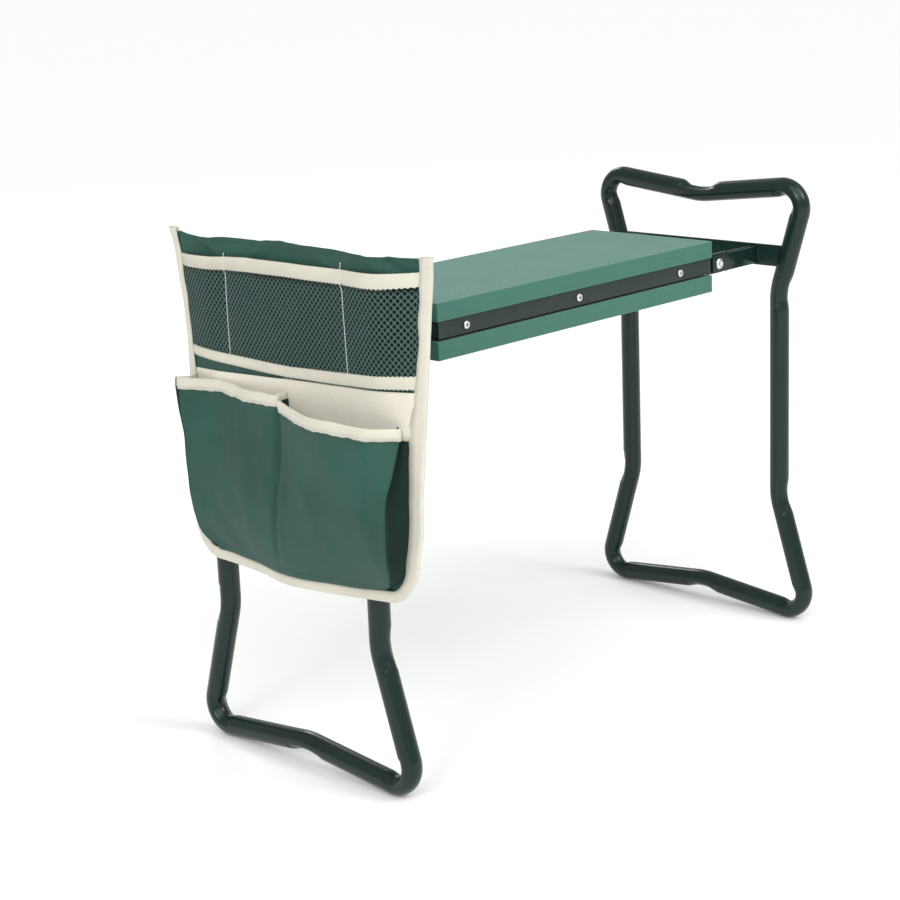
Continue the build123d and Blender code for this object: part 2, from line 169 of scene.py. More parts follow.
def paint_material(name, colour, rough):
    """Powder coat: worn lighter on sharp edges, with a little dust in the gloss."""
    s = Shader(name)
    where = s.coords()
    fine = s.noise(where, 900.0, 2.0)
    dust = s.noise(where, 160.0, 4.0, 0.7)
    edge = s.add("ShaderNodeNewGeometry").outputs["Pointiness"]
    worn = s.ramp(edge, 0.0, 0.5, 0.515, 0.56)
    base = s.vary(s.noise(where, 9.0), colour, 0.86, 1.14, 0.35, 0.65)
    base = s.mix(s.math("MULTIPLY", worn, dust), base, shade(colour, 2.6))
    s.put(Base_Color=base, Roughness=s.ramp(dust, rough - 0.05, rough + 0.09))
    s.put(Specular_IOR_Level=0.3, Coat_Weight=0.12, Coat_Roughness=0.08)
    s.put(Normal=s.bump(fine, 0.0002, 0.35, s.bump(dust, 0.0004, 0.12)))
    return s.material


def metal_material(name, colour, rough):
    """Plated steel, with painted shade in its hollows."""
    s = Shader(name)
    where = s.coords()
    blotch = s.noise(where, 420.0, 4.0)
    fine = s.noise(where, 2600.0, 2.0)
    open_sky = s.add("ShaderNodeAmbientOcclusion", Distance=0.0018).outputs["AO"]
    base = s.vary(blotch, colour, 0.78, 1.0)
    # Painted shade: darker where the surface is hemmed in, as in the screws' cross recesses
    base = s.mix(s.ramp(open_sky, 0.0, 1.0, 0.35, 0.95), shade(colour, 0.06), base)
    s.put(Base_Color=base, Metallic=0.92, Roughness=s.ramp(blotch, rough - 0.05, rough + 0.12))
    s.put(Normal=s.bump(fine, 0.0001, 0.3))
    return s.material


def foam_material(name, side_colour, lit_top_colour):
    """Closed-cell foam: flat faces painted lighter and sides painted darker, painted light and
    shade for how the lamps fall; streaks on the cut sides, and painted shade in the fine pores.
    """
    s = Shader(name)
    where = s.coords()
    upward = s.split(s.add("ShaderNodeNewGeometry").outputs["Normal"])[2]
    flat = s.ramp(s.math("ABSOLUTE", upward), 0.0, 1.0, 0.35, 0.9)
    pores = s.noise(where, 1500.0, 3.0, 0.7)
    cut = s.add("ShaderNodeMapping", Vector=where, Scale=(1.0, 1.0, 22.0))
    streak = s.noise(cut.outputs[0], 26.0, 4.0, 0.6)
    # Painted light and shade: the flat faces take the lighter colour and the sides the darker one,
    # for how the lamps fall on them
    side = s.vary(streak, side_colour, 1.0, 1.16)
    top = s.vary(s.noise(where, 14.0, 3.0), lit_top_colour, 1.0, 1.09, 0.35, 0.65)
    # Painted shade in the fine pores
    pit = s.ramp(pores, 0.16, 0.0, 0.35, 0.5)
    base = s.mix(pit, s.mix(flat, side, top), shade(side_colour, 0.55))
    s.put(Base_Color=base, Roughness=s.ramp(pores, 0.62, 0.78), Specular_IOR_Level=0.42)
    s.put(Sheen_Weight=0.22, Sheen_Roughness=0.45)
    s.put(Normal=s.bump(pores, 0.00025, 0.45, s.bump(streak, 0.0004, 0.2)))
    return s.material


def weave_height(s, pitch):
    """Plain weave from the cloth's own UV, which is in metres along the sheet."""
    warp, weft = (
        s.math("SINE", s.math("MULTIPLY", axis, math.pi / pitch))
        for axis in s.split(s.coords("UV"))[:2]
    )
    over = s.math("GREATER_THAN", s.math("MULTIPLY", warp, weft), 0.0)
    return s.mix(over, s.math("ABSOLUTE", warp), s.math("ABSOLUTE", weft), "FLOAT")


def cloth_material(name, colour, pitch, rough, sheen, depth, coat=0.0, spread=0.16):
    """Woven cloth: painted shade between the threads, lighter on thick ones, spread sets the
    mottling.
    """
    s = Shader(name)
    where = s.coords()
    weave = weave_height(s, pitch)
    slub = s.noise(where, 240.0, 3.0, 0.65)
    base = s.vary(s.noise(where, 11.0, 3.0), colour, 1 - spread, 1 + spread, 0.32, 0.68)
    # Painted shade between the threads
    base = s.mix(s.ramp(weave, 0.42, 0.0, 0.05, 0.6), base, shade(colour, 0.42))
    base = s.mix(s.ramp(slub, 0.0, 0.3, 0.45, 0.8), base, shade(colour, 1.35))
    s.put(Base_Color=base, Roughness=s.ramp(slub, rough - 0.06, rough + 0.08))
    s.put(Specular_IOR_Level=0.35, Sheen_Weight=sheen, Sheen_Roughness=0.4)
    s.put(Coat_Weight=coat, Coat_Roughness=0.45)
    s.put(Normal=s.bump(weave, depth, 0.9, s.bump(slub, 0.0006, 0.25)))
    return s.material


def tape_material(name, colour):
    """Twill tape: fine diagonal ribs with painted shade in their hollows, and a soft grubby
    variation.
    """
    s = Shader(name)
    where = s.coords()
    run, width = s.split(s.coords("UV"))[:2]
    across = s.math("MULTIPLY", width, 2 * math.pi / 0.0011)
    along = s.math("MULTIPLY", run, 2 * math.pi / 0.0009)
    rib = s.math("SINE", s.math("ADD", across, along))
    pick = s.math("MULTIPLY", s.math("SINE", s.math("MULTIPLY", along, 2.0)), 0.4)
    height = s.ramp(s.math("ADD", rib, pick), 0.0, 1.0, -1.4, 1.4)
    fuzz = s.noise(where, 1100.0, 3.0, 0.7)
    base = s.vary(s.noise(where, 26.0, 3.0), colour, 0.93, 1.04)
    # Painted shade in the hollows between the ribs
    base = s.mix(s.ramp(height, 0.3, 0.0, 0.0, 0.6), base, shade(colour, 0.72))
    s.put(Base_Color=base, Roughness=0.86, Specular_IOR_Level=0.2)
    s.put(Sheen_Weight=0.25, Sheen_Roughness=0.5)
    s.put(Normal=s.bump(height, 0.0003, 0.7, s.bump(fuzz, 0.0003, 0.3)))
    return s.material


def plain_material(name, colour, rough, scale, depth, sheen=0.0):
    s = Shader(name)
    grain = s.noise(s.coords(), scale, 4.0, 0.65)
    s.put(Base_Color=s.vary(grain, colour, 0.8, 1.15))
    s.put(Roughness=rough, Sheen_Weight=sheen, Specular_IOR_Level=0.35)
    s.put(Normal=s.bump(grain, depth, 0.5))
    return s.material


FRAME_GREEN = (0.0065, 0.0195, 0.017)
OXFORD_GREEN = (0.025, 0.098, 0.077)
# Weave pitches in metres
OXFORD_PITCH, LINING_PITCH = 0.0007, 0.0005

PAINT = paint_material("frame_powder_coat", FRAME_GREEN, 0.2)
WELD = paint_material("weld_paint", shade(FRAME_GREEN, 0.9), 0.34)
BAND = paint_material("band_powder_coat", (0.012, 0.024, 0.021), 0.48)
ZINC = metal_material("zinc_plate", (0.86, 0.88, 0.86), 0.24)
# Side colour, then a lighter colour for the flat faces: painted light on the top
FOAM = foam_material("eva_foam", (0.033, 0.143, 0.105), (0.086, 0.215, 0.166))
OXFORD = cloth_material("oxford_cloth", OXFORD_GREEN, OXFORD_PITCH, 0.62, 0.03, 0.00028, coat=0.03)
# The pocket's side walls and divider use the oxford green at 0.3: a shaded copy, painted shade for
# the inside of the pocket
GUSSET = cloth_material("shaded_gusset_cloth", shade(OXFORD_GREEN, 0.3), OXFORD_PITCH, 0.8, 0.02, 0.00025)
# Near-black cloth colour for the sheet behind the net: painted shadow, where there is only shade
SHADOW = cloth_material("net_painted_shadow_cloth", (0.004, 0.016, 0.013), OXFORD_PITCH, 0.8, 0.05, 0.0002)
LINING = cloth_material(
    "cream_lining", (0.97, 0.91, 0.78), LINING_PITCH, 0.85, 0.15, 0.00015, spread=0.04
)
TAPE = tape_material("cream_tape", (0.74, 0.71, 0.60))
NET = plain_material("net_yarn", (0.058, 0.118, 0.107), 0.5, 1800.0, 0.0002, sheen=0.15)
THREAD = plain_material("sewing_thread", (0.8, 0.8, 0.74), 0.7, 2200.0, 0.0002)
GREEN_THREAD = plain_material("green_thread", (0.03, 0.09, 0.07), 0.7, 2200.0, 0.0002)
HOOK = plain_material("hook_tape", (0.012, 0.016, 0.015), 0.9, 2600.0, 0.0006, sheen=0.3)
BOARD = plain_material("pressed_board", (0.32, 0.22, 0.12), 0.8, 300.0, 0.0004)


# ---- geometry helpers
def smoothstep(x):
    x = np.clip(x, 0, 1)
    return x * x * (3 - 2 * x)


def unit(v):
    """Vectors along the last axis, brought to length one."""
    return v / np.maximum(np.linalg.norm(v, axis=-1, keepdims=True), 1e-9)


def left_of(flow):
    """Plane directions a quarter turn to the left of flow (n, 2)."""
    return np.stack([-flow[:, 1], flow[:, 0]], axis=1)


def arc(hub, radius, start, end, count):
    """Points along an arc in a plane, from one angle to another in degrees."""
    angles = np.radians(np.linspace(start, end, count))
    return [(hub[0] + radius * math.cos(a), hub[1] + radius * math.sin(a)) for a in angles]


def circle_at(hub, radius, e1, e2, count):
    """A ring of points about hub in the plane of e1 and e2."""
    phi = np.linspace(0, 2 * math.pi, count, endpoint=False)[:, None]
    return hub + radius * (np.cos(phi) * e1 + np.sin(phi) * e2)


def running_length(points):
    """Distance along a polyline up to each of its points."""
    return np.concatenate([[0], np.cumsum(np.linalg.norm(np.diff(points, axis=0), axis=1))])


def arc_lengths(grid, axis):
    steps = np.linalg.norm(np.diff(grid, axis=axis), axis=2)
    pad = [(0, 0), (0, 0)]
    pad[axis] = (1, 0)
    return np.cumsum(np.pad(steps, pad), axis=axis)


def ring_mesh(rings, closed=False):
    """Points and faces of a tube from rings (n, m, 3); closed joins the last ring to the first."""
    n, m, _ = rings.shape
    faces = []
    for i in range(n if closed else n - 1):
        k = (i + 1) % n
        for j in range(m):
            q = (j + 1) % m
            faces.append((i * m + j, i * m + q, k * m + q, k * m + j))
    if not closed:
        faces.append(tuple(range(m - 1, -1, -1)))
        faces.append(tuple((n - 1) * m + j for j in range(m)))
    return rings.reshape(-1, 3), faces


# ---- making pieces
def new_object(name, data):
    made = bpy.data.objects.new(name, data)
    bpy.context.scene.collection.objects.link(made)
    return made


def add_piece(name, points, faces, material, body, *nodes, uv=None, smooth=True, crease=None):
    """Makes one mesh that rides on body and stands in for the nodes. Edges sharper than crease
    degrees stay hard."""
    mesh = bpy.data.meshes.new(name)
    mesh.from_pydata((np.asarray(points, float) * MM).tolist(), [], faces)
    mesh.validate()
    mesh.update()
    if uv is not None:
        layer = mesh.uv_layers.new(name="UVMap")
        index = np.empty(len(mesh.loops), np.int32)
        mesh.loops.foreach_get("vertex_index", index)
        layer.data.foreach_set("uv", (np.asarray(uv, float) * MM)[index].ravel())
    mesh.polygons.foreach_set("use_smooth", [smooth] * len(mesh.polygons))
    mesh.materials.append(material)
    if crease:
        mesh.set_sharp_from_angle(angle=math.radians(crease))
    piece = new_object(name, mesh)
    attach(piece, body)
    if nodes:
        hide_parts(*nodes)


def add_parts(name, parts, material, body, *nodes, crease=None):
    """One piece made of several (points, faces) parts."""
    points, faces, start = [], [], 0
    for p, f in parts:
        points.append(np.asarray(p, float))
        faces += [tuple(k + start for k in face) for face in f]
        start += len(p)
    add_piece(name, np.concatenate(points), faces, material, body, *nodes, crease=crease)


def add_tube(name, rings, material, body, *nodes, closed=False):
    """A tube through rings (n, m, 3), with UV along and around it."""
    around, along = running_length(rings[0]), running_length(rings.mean(1))
    uv = np.stack(np.meshgrid(along, around, indexing="ij"), axis=2).reshape(-1, 2)
    add_piece(name, *ring_mesh(rings, closed), material, body, *nodes, uv=uv)


def add_sheet(name, grid, thickness, material, *nodes, flip=False):
    """A closed sheet of the pouch. grid (nu, nv, 3) is its front face and the back lies
    thickness behind it; flip turns the front the other way."""
    grid = np.asarray(grid, float)[::-1] if flip else np.asarray(grid, float)
    nu, nv, _ = grid.shape
    normals = unit(np.cross(np.gradient(grid, axis=0), np.gradient(grid, axis=1)))
    points = np.concatenate([grid.reshape(-1, 3), (grid - normals * thickness).reshape(-1, 3)])
    uv = np.stack([arc_lengths(grid, 0), arc_lengths(grid, 1)], axis=2).reshape(-1, 2)
    ids = np.arange(nu * nv).reshape(nu, nv)
    top, low = ids.tolist(), (ids + nu * nv).tolist()
    faces = []
    for i in range(nu - 1):
        for j in range(nv - 1):
            faces.append((top[i][j], top[i + 1][j], top[i + 1][j + 1], top[i][j + 1]))
            faces.append((low[i][j + 1], low[i + 1][j + 1], low[i + 1][j], low[i][j]))
    for i in range(nu - 1):
        faces.append((top[i + 1][0], top[i][0], low[i][0], low[i + 1][0]))
        faces.append((top[i][-1], top[i + 1][-1], low[i + 1][-1], low[i][-1]))
    for j in range(nv - 1):
        faces.append((top[0][j], top[0][j + 1], low[0][j + 1], low[0][j]))
        faces.append((top[-1][j + 1], top[-1][j], low[-1][j], low[-1][j + 1]))
    add_piece(name, points, faces, material, "pouch", *nodes, uv=np.concatenate([uv, uv]))


# ---- bent tube loops
TUBE_R = 10.0
HANDLE_Y, FOOT_Y, KNEE_Y = 134.0, 139.0, 100.0
HANDLE_Z, KNEE_Z = 75, -36
# Rear side of the loop from the top, as (y, z); the front side mirrors it between two kinks
LOOP_SIDE = [(HANDLE_Y, HANDLE_Z), (KNEE_Y, KNEE_Z), (KNEE_Y, -258), (FOOT_Y, -384)]
LOOP_OUTLINE = [(0, 60), *LOOP_SIDE, (0, -370), *((-y, z) for y, z in LOOP_SIDE[::-1])]
LOOP_BENDS = [80, 21, 68, 68, 21, 80, 21, 68, 68, 21]
# How far each bend's inner wall is pressed in, and half the length of the press mark
PRESS_DEPTH = [4.4, 2.5, 1.7, 1.6, 2.5, 2.4, 2.5, 1.6, 1.7, 2.5]
PRESS_HALF = [27, 27, 22, 22, 27, 24, 27, 22, 22, 27]
LOOP_STEP = 1.7
TUBE_SIDES = 36
# How far the tube moves outward for each millimetre up, beside the hinge
TUBE_LEAN = (HANDLE_Y - KNEE_Y) / (HANDLE_Z - KNEE_Z)


def rounded_path(points, radii, step):
    """Samples a closed filleted outline: positions, and each bend's arc length and inner side."""
    points = np.array(points, float)
    arcs = []
    corners = zip(np.roll(points, 1, 0), points, np.roll(points, -1, 0), radii)
    for before, here, after, radius in corners:
        d1, d2 = unit(here - before), unit(after - here)
        turn = math.acos(np.clip(d1 @ d2, -1, 1))
        reach = radius * math.tan(turn / 2)
        inner = unit(d2 - d1)
        hub = here + inner * radius / math.cos(turn / 2)
        arcs.append((here - d1 * reach, here + d2 * reach, hub, radius, turn, inner))
    samples, bends, length = [], [], 0.0
    for (start, end, hub, radius, turn, inner), following in zip(arcs, arcs[1:] + arcs[:1]):
        span = radius * turn
        steps = max(3, int(span / step))
        first = math.atan2(*(start - hub)[::-1])
        last = math.atan2(*(end - hub)[::-1])
        delta = (last - first + math.pi) % (2 * math.pi) - math.pi
        for k in range(steps):
            angle = first + delta * k / steps
            spot = hub + radius * np.array([math.cos(angle), math.sin(angle)])
            samples.append((length + span * k / steps, spot))
        bends.append((length + span / 2, inner))
        length += span
        gap = np.linalg.norm(following[0] - end)
        steps = max(1, int(gap / step))
        for k in range(steps):
            samples.append((length + gap * k / steps, end + (following[0] - end) * k / steps))
        length += gap
    return samples, bends, length


def tube_loop(name, x, body, node):
    """The bent tube, with a dent and a crease lip pressed into the inside of each bend."""
    samples, bends, total = rounded_path(LOOP_OUTLINE, LOOP_BENDS, LOOP_STEP)
    s = np.array([a for a, _ in samples])
    centre = np.array([p for _, p in samples])
    side = left_of(unit(np.roll(centre, -1, 0) - np.roll(centre, 1, 0)))
    phi = np.linspace(0, 2 * math.pi, TUBE_SIDES, endpoint=False)
    radius = np.full((len(s), TUBE_SIDES), TUBE_R)
    for (where, inner), depth, half in zip(bends, PRESS_DEPTH, PRESS_HALF):
        away = np.abs((s - where + total / 2) % total - total / 2)
        along = smoothstep((half - away) / ((0.5 if depth > 4 else 0.7) * half))
        lip = np.exp(-(((away - 0.8 * half) / 1.9) ** 2))
        facing = np.sign(side @ inner)[:, None] * np.cos(phi)[None, :]
        dent = smoothstep((facing - 0.12) / 0.6)
        crease = smoothstep((facing + 0.1) / 0.5) * smoothstep((0.95 - facing) / 0.4)
        radius -= depth * along[:, None] * dent
        radius -= 0.6 * lip[:, None] * crease
        radius += 0.06 * depth * along[:, None] * np.sin(phi)[None, :] ** 2
    rings = np.empty((len(s), TUBE_SIDES, 3))
    rings[:, :, 0] = x + radius * np.sin(phi)
    rings[:, :, 1] = centre[:, None, 0] + radius * np.cos(phi) * side[:, None, 0]
    rings[:, :, 2] = MID_Z + centre[:, None, 1] + radius * np.cos(phi) * side[:, None, 1]
    add_tube(name, rings, PAINT, body, node, closed=True)


def bead_part(start, end, radius, phase):
    """One rippled weld bead from start to end."""
    start, end = np.array(start, float), np.array(end, float)
    axis = unit(end - start)
    helper = np.array([1.0, 0, 0]) if abs(axis[0]) < 0.8 else np.array([0, 1.0, 0])
    e1 = unit(np.cross(axis, helper))
    e2 = np.cross(axis, e1)
    length = np.linalg.norm(end - start)
    n = max(8, int(length / 0.45))
    rings = []
    for k in range(n + 1):
        a = k / n
        cap = math.sqrt(max(0.02, 1 - (2 * a - 1) ** 8))
        r = radius * cap * (1 + 0.13 * math.sin(a * length / 1.5 * 2 * math.pi + phase))
        rings.append(circle_at(start + axis * length * a, r, e1, e2, 10))
    return ring_mesh(np.array(rings))


def welds(name, x, inward, body):
    """Beads where the cross plate meets the tubes and where the hinge arms meet the plate."""
    plate_half_height, plate_face = 10.3, 2.0
    parts = []
    for side, place_name in ((-1, "front"), (1, "rear")):
        for face in (-1, 1):
            ends = []
            for z in (-plate_half_height, plate_half_height):
                y = KNEE_Y + TUBE_LEAN * (z - KNEE_Z) - TUBE_R * 0.985
                ends.append((x + face * plate_face, side * (y + 0.6), MID_Z + z))
            parts.append(bead_part(*ends, 1.7, side + face))
        low, high = box_mm(f"{body.removesuffix('_leg')}_{place_name}_arm")
        plate_x = x + inward * 1.6
        z0, z1 = low[2] + 1.5, high[2] - 1.5
        for y in (low[1] - 0.5, high[1] + 0.5):
            parts.append(bead_part((plate_x, y, z0), (plate_x, y, z1), 1.35, y))
    add_parts(name, parts, WELD, body)


# Half of a rivet as (radius, height outward from the arm's face): tail, shank, dished head
RIVET = [(0.15, -11.9), (2.6, -11.9), (4.2, -11.6), (4.75, -10.9), (4.75, -10.15), (2.95, -10.1)]
RIVET += [(2.95, 0.02), (5.55, 0.02), (5.7, 0.5), (5.55, 1.2), (5.0, 1.9), (4.1, 2.35), (3.0, 2.5)]
RIVET += [(2.3, 2.42), (1.75, 2.0), (1.5, 1.55), (0.9, 1.35), (0.15, 1.3)]
RIVET_HEAD = 2.6


def rivets(name, x, body, node):
    """Two rivets turned about the hinge axis, one through each arm."""
    outer = box_mm(node)[1][1] - RIVET_HEAD
    phi = np.linspace(0, 2 * math.pi, 28, endpoint=False)
    parts = []
    for side in (-1, 1):
        rings = np.empty((len(RIVET), len(phi), 3))
        for ring, (r, h) in zip(rings, RIVET):
            ring[:, 0] = x + r * np.cos(phi)
            ring[:, 1] = side * (outer + h)
            ring[:, 2] = MID_Z + r * np.sin(phi) * side
        parts.append(ring_mesh(rings[::-1]))
    add_parts(name, parts, ZINC, body, node)


for end, loop_x, inward in (("left", LEFT_X, 1), ("right", RIGHT_X, -1)):
    tube_loop(f"{end}_tube_loop", loop_x, f"{end}_leg", f"{end}_leg_loop")
    welds(f"{end}_welds", loop_x, inward, f"{end}_leg")
    rivets(f"{end}_rivets", -inward * PIVOT_X, f"{end}_leg", f"{end}_hinge_rivets")


# ---- foam pads
EMBOSS_PITCH = 4.0
EMBOSS_DEPTH = 0.35
# The embossed face stops RIM short of the pad's edge, and each corner is an arc of CORNER_STEPS
RIM = 3.0
CORNER_STEPS = 7
CORNER_START = {(1, -1): -90, (1, 1): 0, (-1, 1): 90, (-1, -1): 180}


def emboss_lines(low, high, groove):
    """Line positions and heights across one embossed direction."""
    count = max(1, round((high - low) / EMBOSS_PITCH))
    pitch = (high - low) / count
    spots, heights = [low], [0.0]
    for k in range(count):
        middle = low + (k + 0.5) * pitch
        spots += [middle - groove, middle - groove * 0.45, middle + groove * 0.45, middle + groove]
        heights += [0.0, -1.0, -1.0, 0.0]
    return np.array([*spots, high]), np.array([*heights, 0.0])


def foam_pad(name, node, outward):
    """Pad with an embossed outer face, eased edges and faintly wavy cut sides."""
    low, high = box_mm(node)
    tall = high[2] - low[2]
    face_z = high[2] if outward > 0 else low[2]
    xs, hx = emboss_lines(low[0] + RIM, high[0] - RIM, 0.62)
    ys, hy = emboss_lines(low[1] + RIM, high[1] - RIM, 0.75)
    nx, ny = len(xs), len(ys)
    heights = face_z + outward * EMBOSS_DEPTH * np.minimum(hx[:, None] * 0.7, hy[None, :])
    points = [(xs[i], ys[j], heights[i, j]) for i in range(nx) for j in range(ny)]
    faces = []
    for i in range(nx - 1):
        for j in range(ny - 1):
            k = i * ny + j
            faces.append((k, k + ny, k + ny + 1, k + 1)[::outward])
    # The border of the grid, walked once round, with each corner fanned into an eased square
    border = [(i, 0) for i in range(nx)] + [(nx - 1, j) for j in range(1, ny)]
    border += [(i, ny - 1) for i in range(nx - 2, -1, -1)] + [(0, j) for j in range(ny - 2, 0, -1)]
    base, ways = [], []
    for i, j in border:
        way = (int(i == nx - 1) - int(i == 0), int(j == ny - 1) - int(j == 0))
        if way in CORNER_START:
            for c, d in arc((0, 0), 1, CORNER_START[way], CORNER_START[way] + 90, CORNER_STEPS):
                square = (abs(c) ** 6 + abs(d) ** 6) ** (-1 / 6)
                base.append(i * ny + j)
                ways.append((c * square, d * square))
        else:
            base.append(i * ny + j)
            ways.append(way)
    # How far the side stands out from the grid, and how far down from the face
    profile = [(1.7, 0.0), (2.35, 0.12), (2.8, 0.5), (3.0, 1.1), (2.93, 0.3 * tall)]
    profile += [(2.86, 0.55 * tall), (2.92, 0.8 * tall), (3.0, tall - 0.7), (2.6, tall)]
    last = base
    for reach, drop in profile:
        row = range(len(points), len(points) + len(base))
        for index, (dx, dy) in zip(base, ways):
            x, y, _ = points[index]
            wave = 0.12 * math.sin(x * 0.031 + drop) + 0.1 * math.sin(y * 0.07 + 1.3 * drop)
            out = reach - (abs(wave) if 1.5 < drop < tall - 1 else 0)
            points.append((x + dx * out, y + dy * out, face_z - outward * drop))
        for k in range(len(row)):
            q = (k + 1) % len(row)
            ends = (last[k], last[q]) if last[k] != last[q] else (last[k],)
            faces.append((*ends, row[q], row[k])[::-outward])
        last = row
    faces.append(tuple(last)[::-outward])
    add_piece(name, points, faces, FOAM, "seat", node, crease=50)


foam_pad("top_pad", "top_foam_pad", 1)
foam_pad("bottom_pad", "bottom_foam_pad", -1)


# ---- seat frame and hinge arms
SOFT_CREASE = 38


def dress(node, material, bevel=0.0):
    """Gives a CAD node its material and, if asked, rounded edges."""
    piece = frame["nodes"][node]
    piece.data.materials.clear()
    piece.data.materials.append(material)
    if bevel:
        weld = piece.modifiers.new("weld", "WELD")
        weld.merge_threshold = 0.00001
        round_off = piece.modifiers.new("bevel", "BEVEL")
        round_off.width = bevel * MM
        round_off.segments = 2
        round_off.limit_method = "ANGLE"
        round_off.angle_limit = math.radians(40)
        even = piece.modifiers.new("even_normals", "WEIGHTED_NORMAL")
        even.keep_sharp = True


def slab_part(outline, low_y, high_y, edge):
    """A flat bar cut to outline (x, z), lying between two y values, with eased edges."""
    outline = np.array(outline, float)
    after = np.roll(outline, -1, 0)
    area = np.sum(outline[:, 0] * after[:, 1] - outline[:, 1] * after[:, 0])
    inward = left_of(unit(after - np.roll(outline, 1, 0))) * np.sign(area)
    steps = [(low_y, edge), (low_y + 0.3 * edge, 0.3 * edge), (low_y + edge, 0)]
    steps += [(high_y - edge, 0), (high_y - 0.3 * edge, 0.3 * edge), (high_y, edge)]
    rings = []
    for y, inset in steps:
        flat = outline + inward * inset
        rings.append(np.stack([flat[:, 0], np.full(len(flat), y), flat[:, 1]], axis=1))
    return ring_mesh(np.array(rings[::-1] if area > 0 else rings))


def round_box(x0, x1, z0, z1, radii):
    """Rectangle outline with one radius per corner, starting at the low x, low z corner."""
    points = []
    for x, z, start, r in zip((x0, x1, x1, x0), (z0, z0, z1, z1), (180, 270, 0, 90), radii):
        hub = (x + r if x == x0 else x - r, z + r if z == z0 else z - r)
        points += arc(hub, r, start, start + 90, 7)
    return points


def hinge_arm(name, body, node):
    """Channel arm: two flat cheeks joined by a web where it meets the cross plate."""
    sheet, overhang, square, soft = 2.5, 1.2, 0.6, 4.2
    low, high = box_mm(node)
    x0, x1 = (low[0], high[0] + overhang) if body == "left_leg" else (low[0] - overhang, high[0])
    if body == "left_leg":
        web_x, radii = (x0, x0 + sheet), (square, soft, soft, square)
    else:
        web_x, radii = (x1 - sheet, x1), (soft, square, square, soft)
    cheek = round_box(x0, x1, low[2], high[2], radii)
    web = round_box(*web_x, low[2] + 0.3, high[2] - 0.3, [0.4] * 4)
    parts = [slab_part(cheek, low[1], low[1] + sheet, 0.4)]
    parts.append(slab_part(cheek, high[1] - sheet, high[1], 0.4))
    parts.append(slab_part(web, low[1] + 2.0, high[1] - 2.0, 0.2))
    add_parts(name, parts, PAINT, body, node, crease=SOFT_CREASE)


def side_band(name, node):
    """Folded steel channel along the seat's long side, closed at both ends."""
    sheet, r = 1.5, 0.9
    low, high = box_mm(node)
    side = -1 if low[1] < 0 else 1
    back, face = sorted((abs(low[1]), abs(high[1])))
    z0, z1 = low[2], high[2]
    profile = arc((face - r, z0 + r), r, -90, 0, 5) + arc((face - r, z1 - r), r, 0, 90, 5)
    profile += [(back, z1), (back, z1 - sheet), (face - sheet, z1 - sheet)]
    profile += [(face - sheet, z0 + sheet), (back, z0 + sheet), (back, z0)]
    rings = []
    for x in np.linspace(low[0], high[0], 60):
        bow = 0.05 * math.sin(x * 0.021)
        rings.append([(x, side * (y + bow), z) for y, z in profile])
    parts = [ring_mesh(np.array(rings)[::side])]
    shallow, deep = sorted((side * (back + 0.2), side * (face - 0.5)))
    for x in (low[0], high[0] - sheet):
        cap = round_box(x, x + sheet, z0 + 0.3, z1 - 0.3, [0.3] * 4)
        parts.append(slab_part(cap, shallow, deep, 0.2))
    add_parts(name, parts, BAND, "seat", node, crease=SOFT_CREASE)


for end in ("left", "right"):
    dress(f"{end}_cross_plate", PAINT, 0.5)
    dress(f"{end}_stop_pins", ZINC)
    dress(f"{end}_end_rail", BAND)
    for side in ("front", "rear"):
        hinge_arm(f"{end}_{side}_channel", f"{end}_leg", f"{end}_{side}_arm")
        dress(f"{end}_{side}_lug", PAINT)
for side in ("front", "rear"):
    side_band(f"{side}_band", f"{side}_side_rail")
    dress(f"{side}_side_screws", ZINC)
    dress(f"{side}_lug_spacers", ZINC)
dress("seat_core_board", BOARD)


# ---- shape of the pouch
def place(yp, z, t):
    """Pouch coordinates to the frame: yp across, z up from the seat's middle, t outward."""
    yp, z, t = np.broadcast_arrays(np.asarray(yp, float), z, t)
    draw = smoothstep((-yp - 50) / 95) * smoothstep((-125 - z) / 75)
    return np.stack([POUCH_X - t, POUCH_Y + yp + 9.0 * draw, MID_Z + z + 4.5 * draw], axis=-1)


def half_width(z, inset):
    """Half the pouch's width at height z inside its outline, with rounded bottom corners."""
    radius = CORNER - inset
    low = BOTTOM + inset
    drop = np.clip(low + radius - z, 0, radius)
    return HALF - inset - (radius - np.sqrt(np.maximum(radius**2 - drop**2, 0)))


def fold(yp, z, middle, lean, width, level):
    """Cross section of a fold that passes middle at height level and leans as it rises."""
    return np.exp(-(((yp - middle - lean * (z - level)) / width) ** 2))


# Short folds in the free strip above the net: middle, lean, height and half width
STRIP_FOLDS = [(112, 1.3, -1.5, 6), (96, 0.9, 1.3, 5), (40, -1.2, 1.1, 7), (18, -1.4, -0.9, 5)]
STRIP_FOLDS += [(-48, 0.8, 0.8, 9), (-104, 1.1, 1.5, 7), (-122, 1.3, -1.2, 5)]
# Random creases: waves per millimetre across and up, phase and height
CRUMPLES = []
for _ in range(18):
    span = rng.uniform(13, 46)
    lean = rng.uniform(-1.1, 1.1)
    phase = rng.uniform(0, math.tau)
    CRUMPLES.append(
        (math.tau * math.cos(lean) / span, math.tau * math.sin(lean) / span, phase, 0.0042 * span)
    )


def crumple(yp, z):
    """Soft uneven creasing of coated cloth that has been folded and opened again."""
    total = sum(size * np.sin(across * yp + up * z + phase) for across, up, phase, size in CRUMPLES)
    patch = 0.62 + 0.38 * np.sin(yp * 0.041 + 1.7) * np.sin(z * 0.033 + 0.4)
    return total * patch


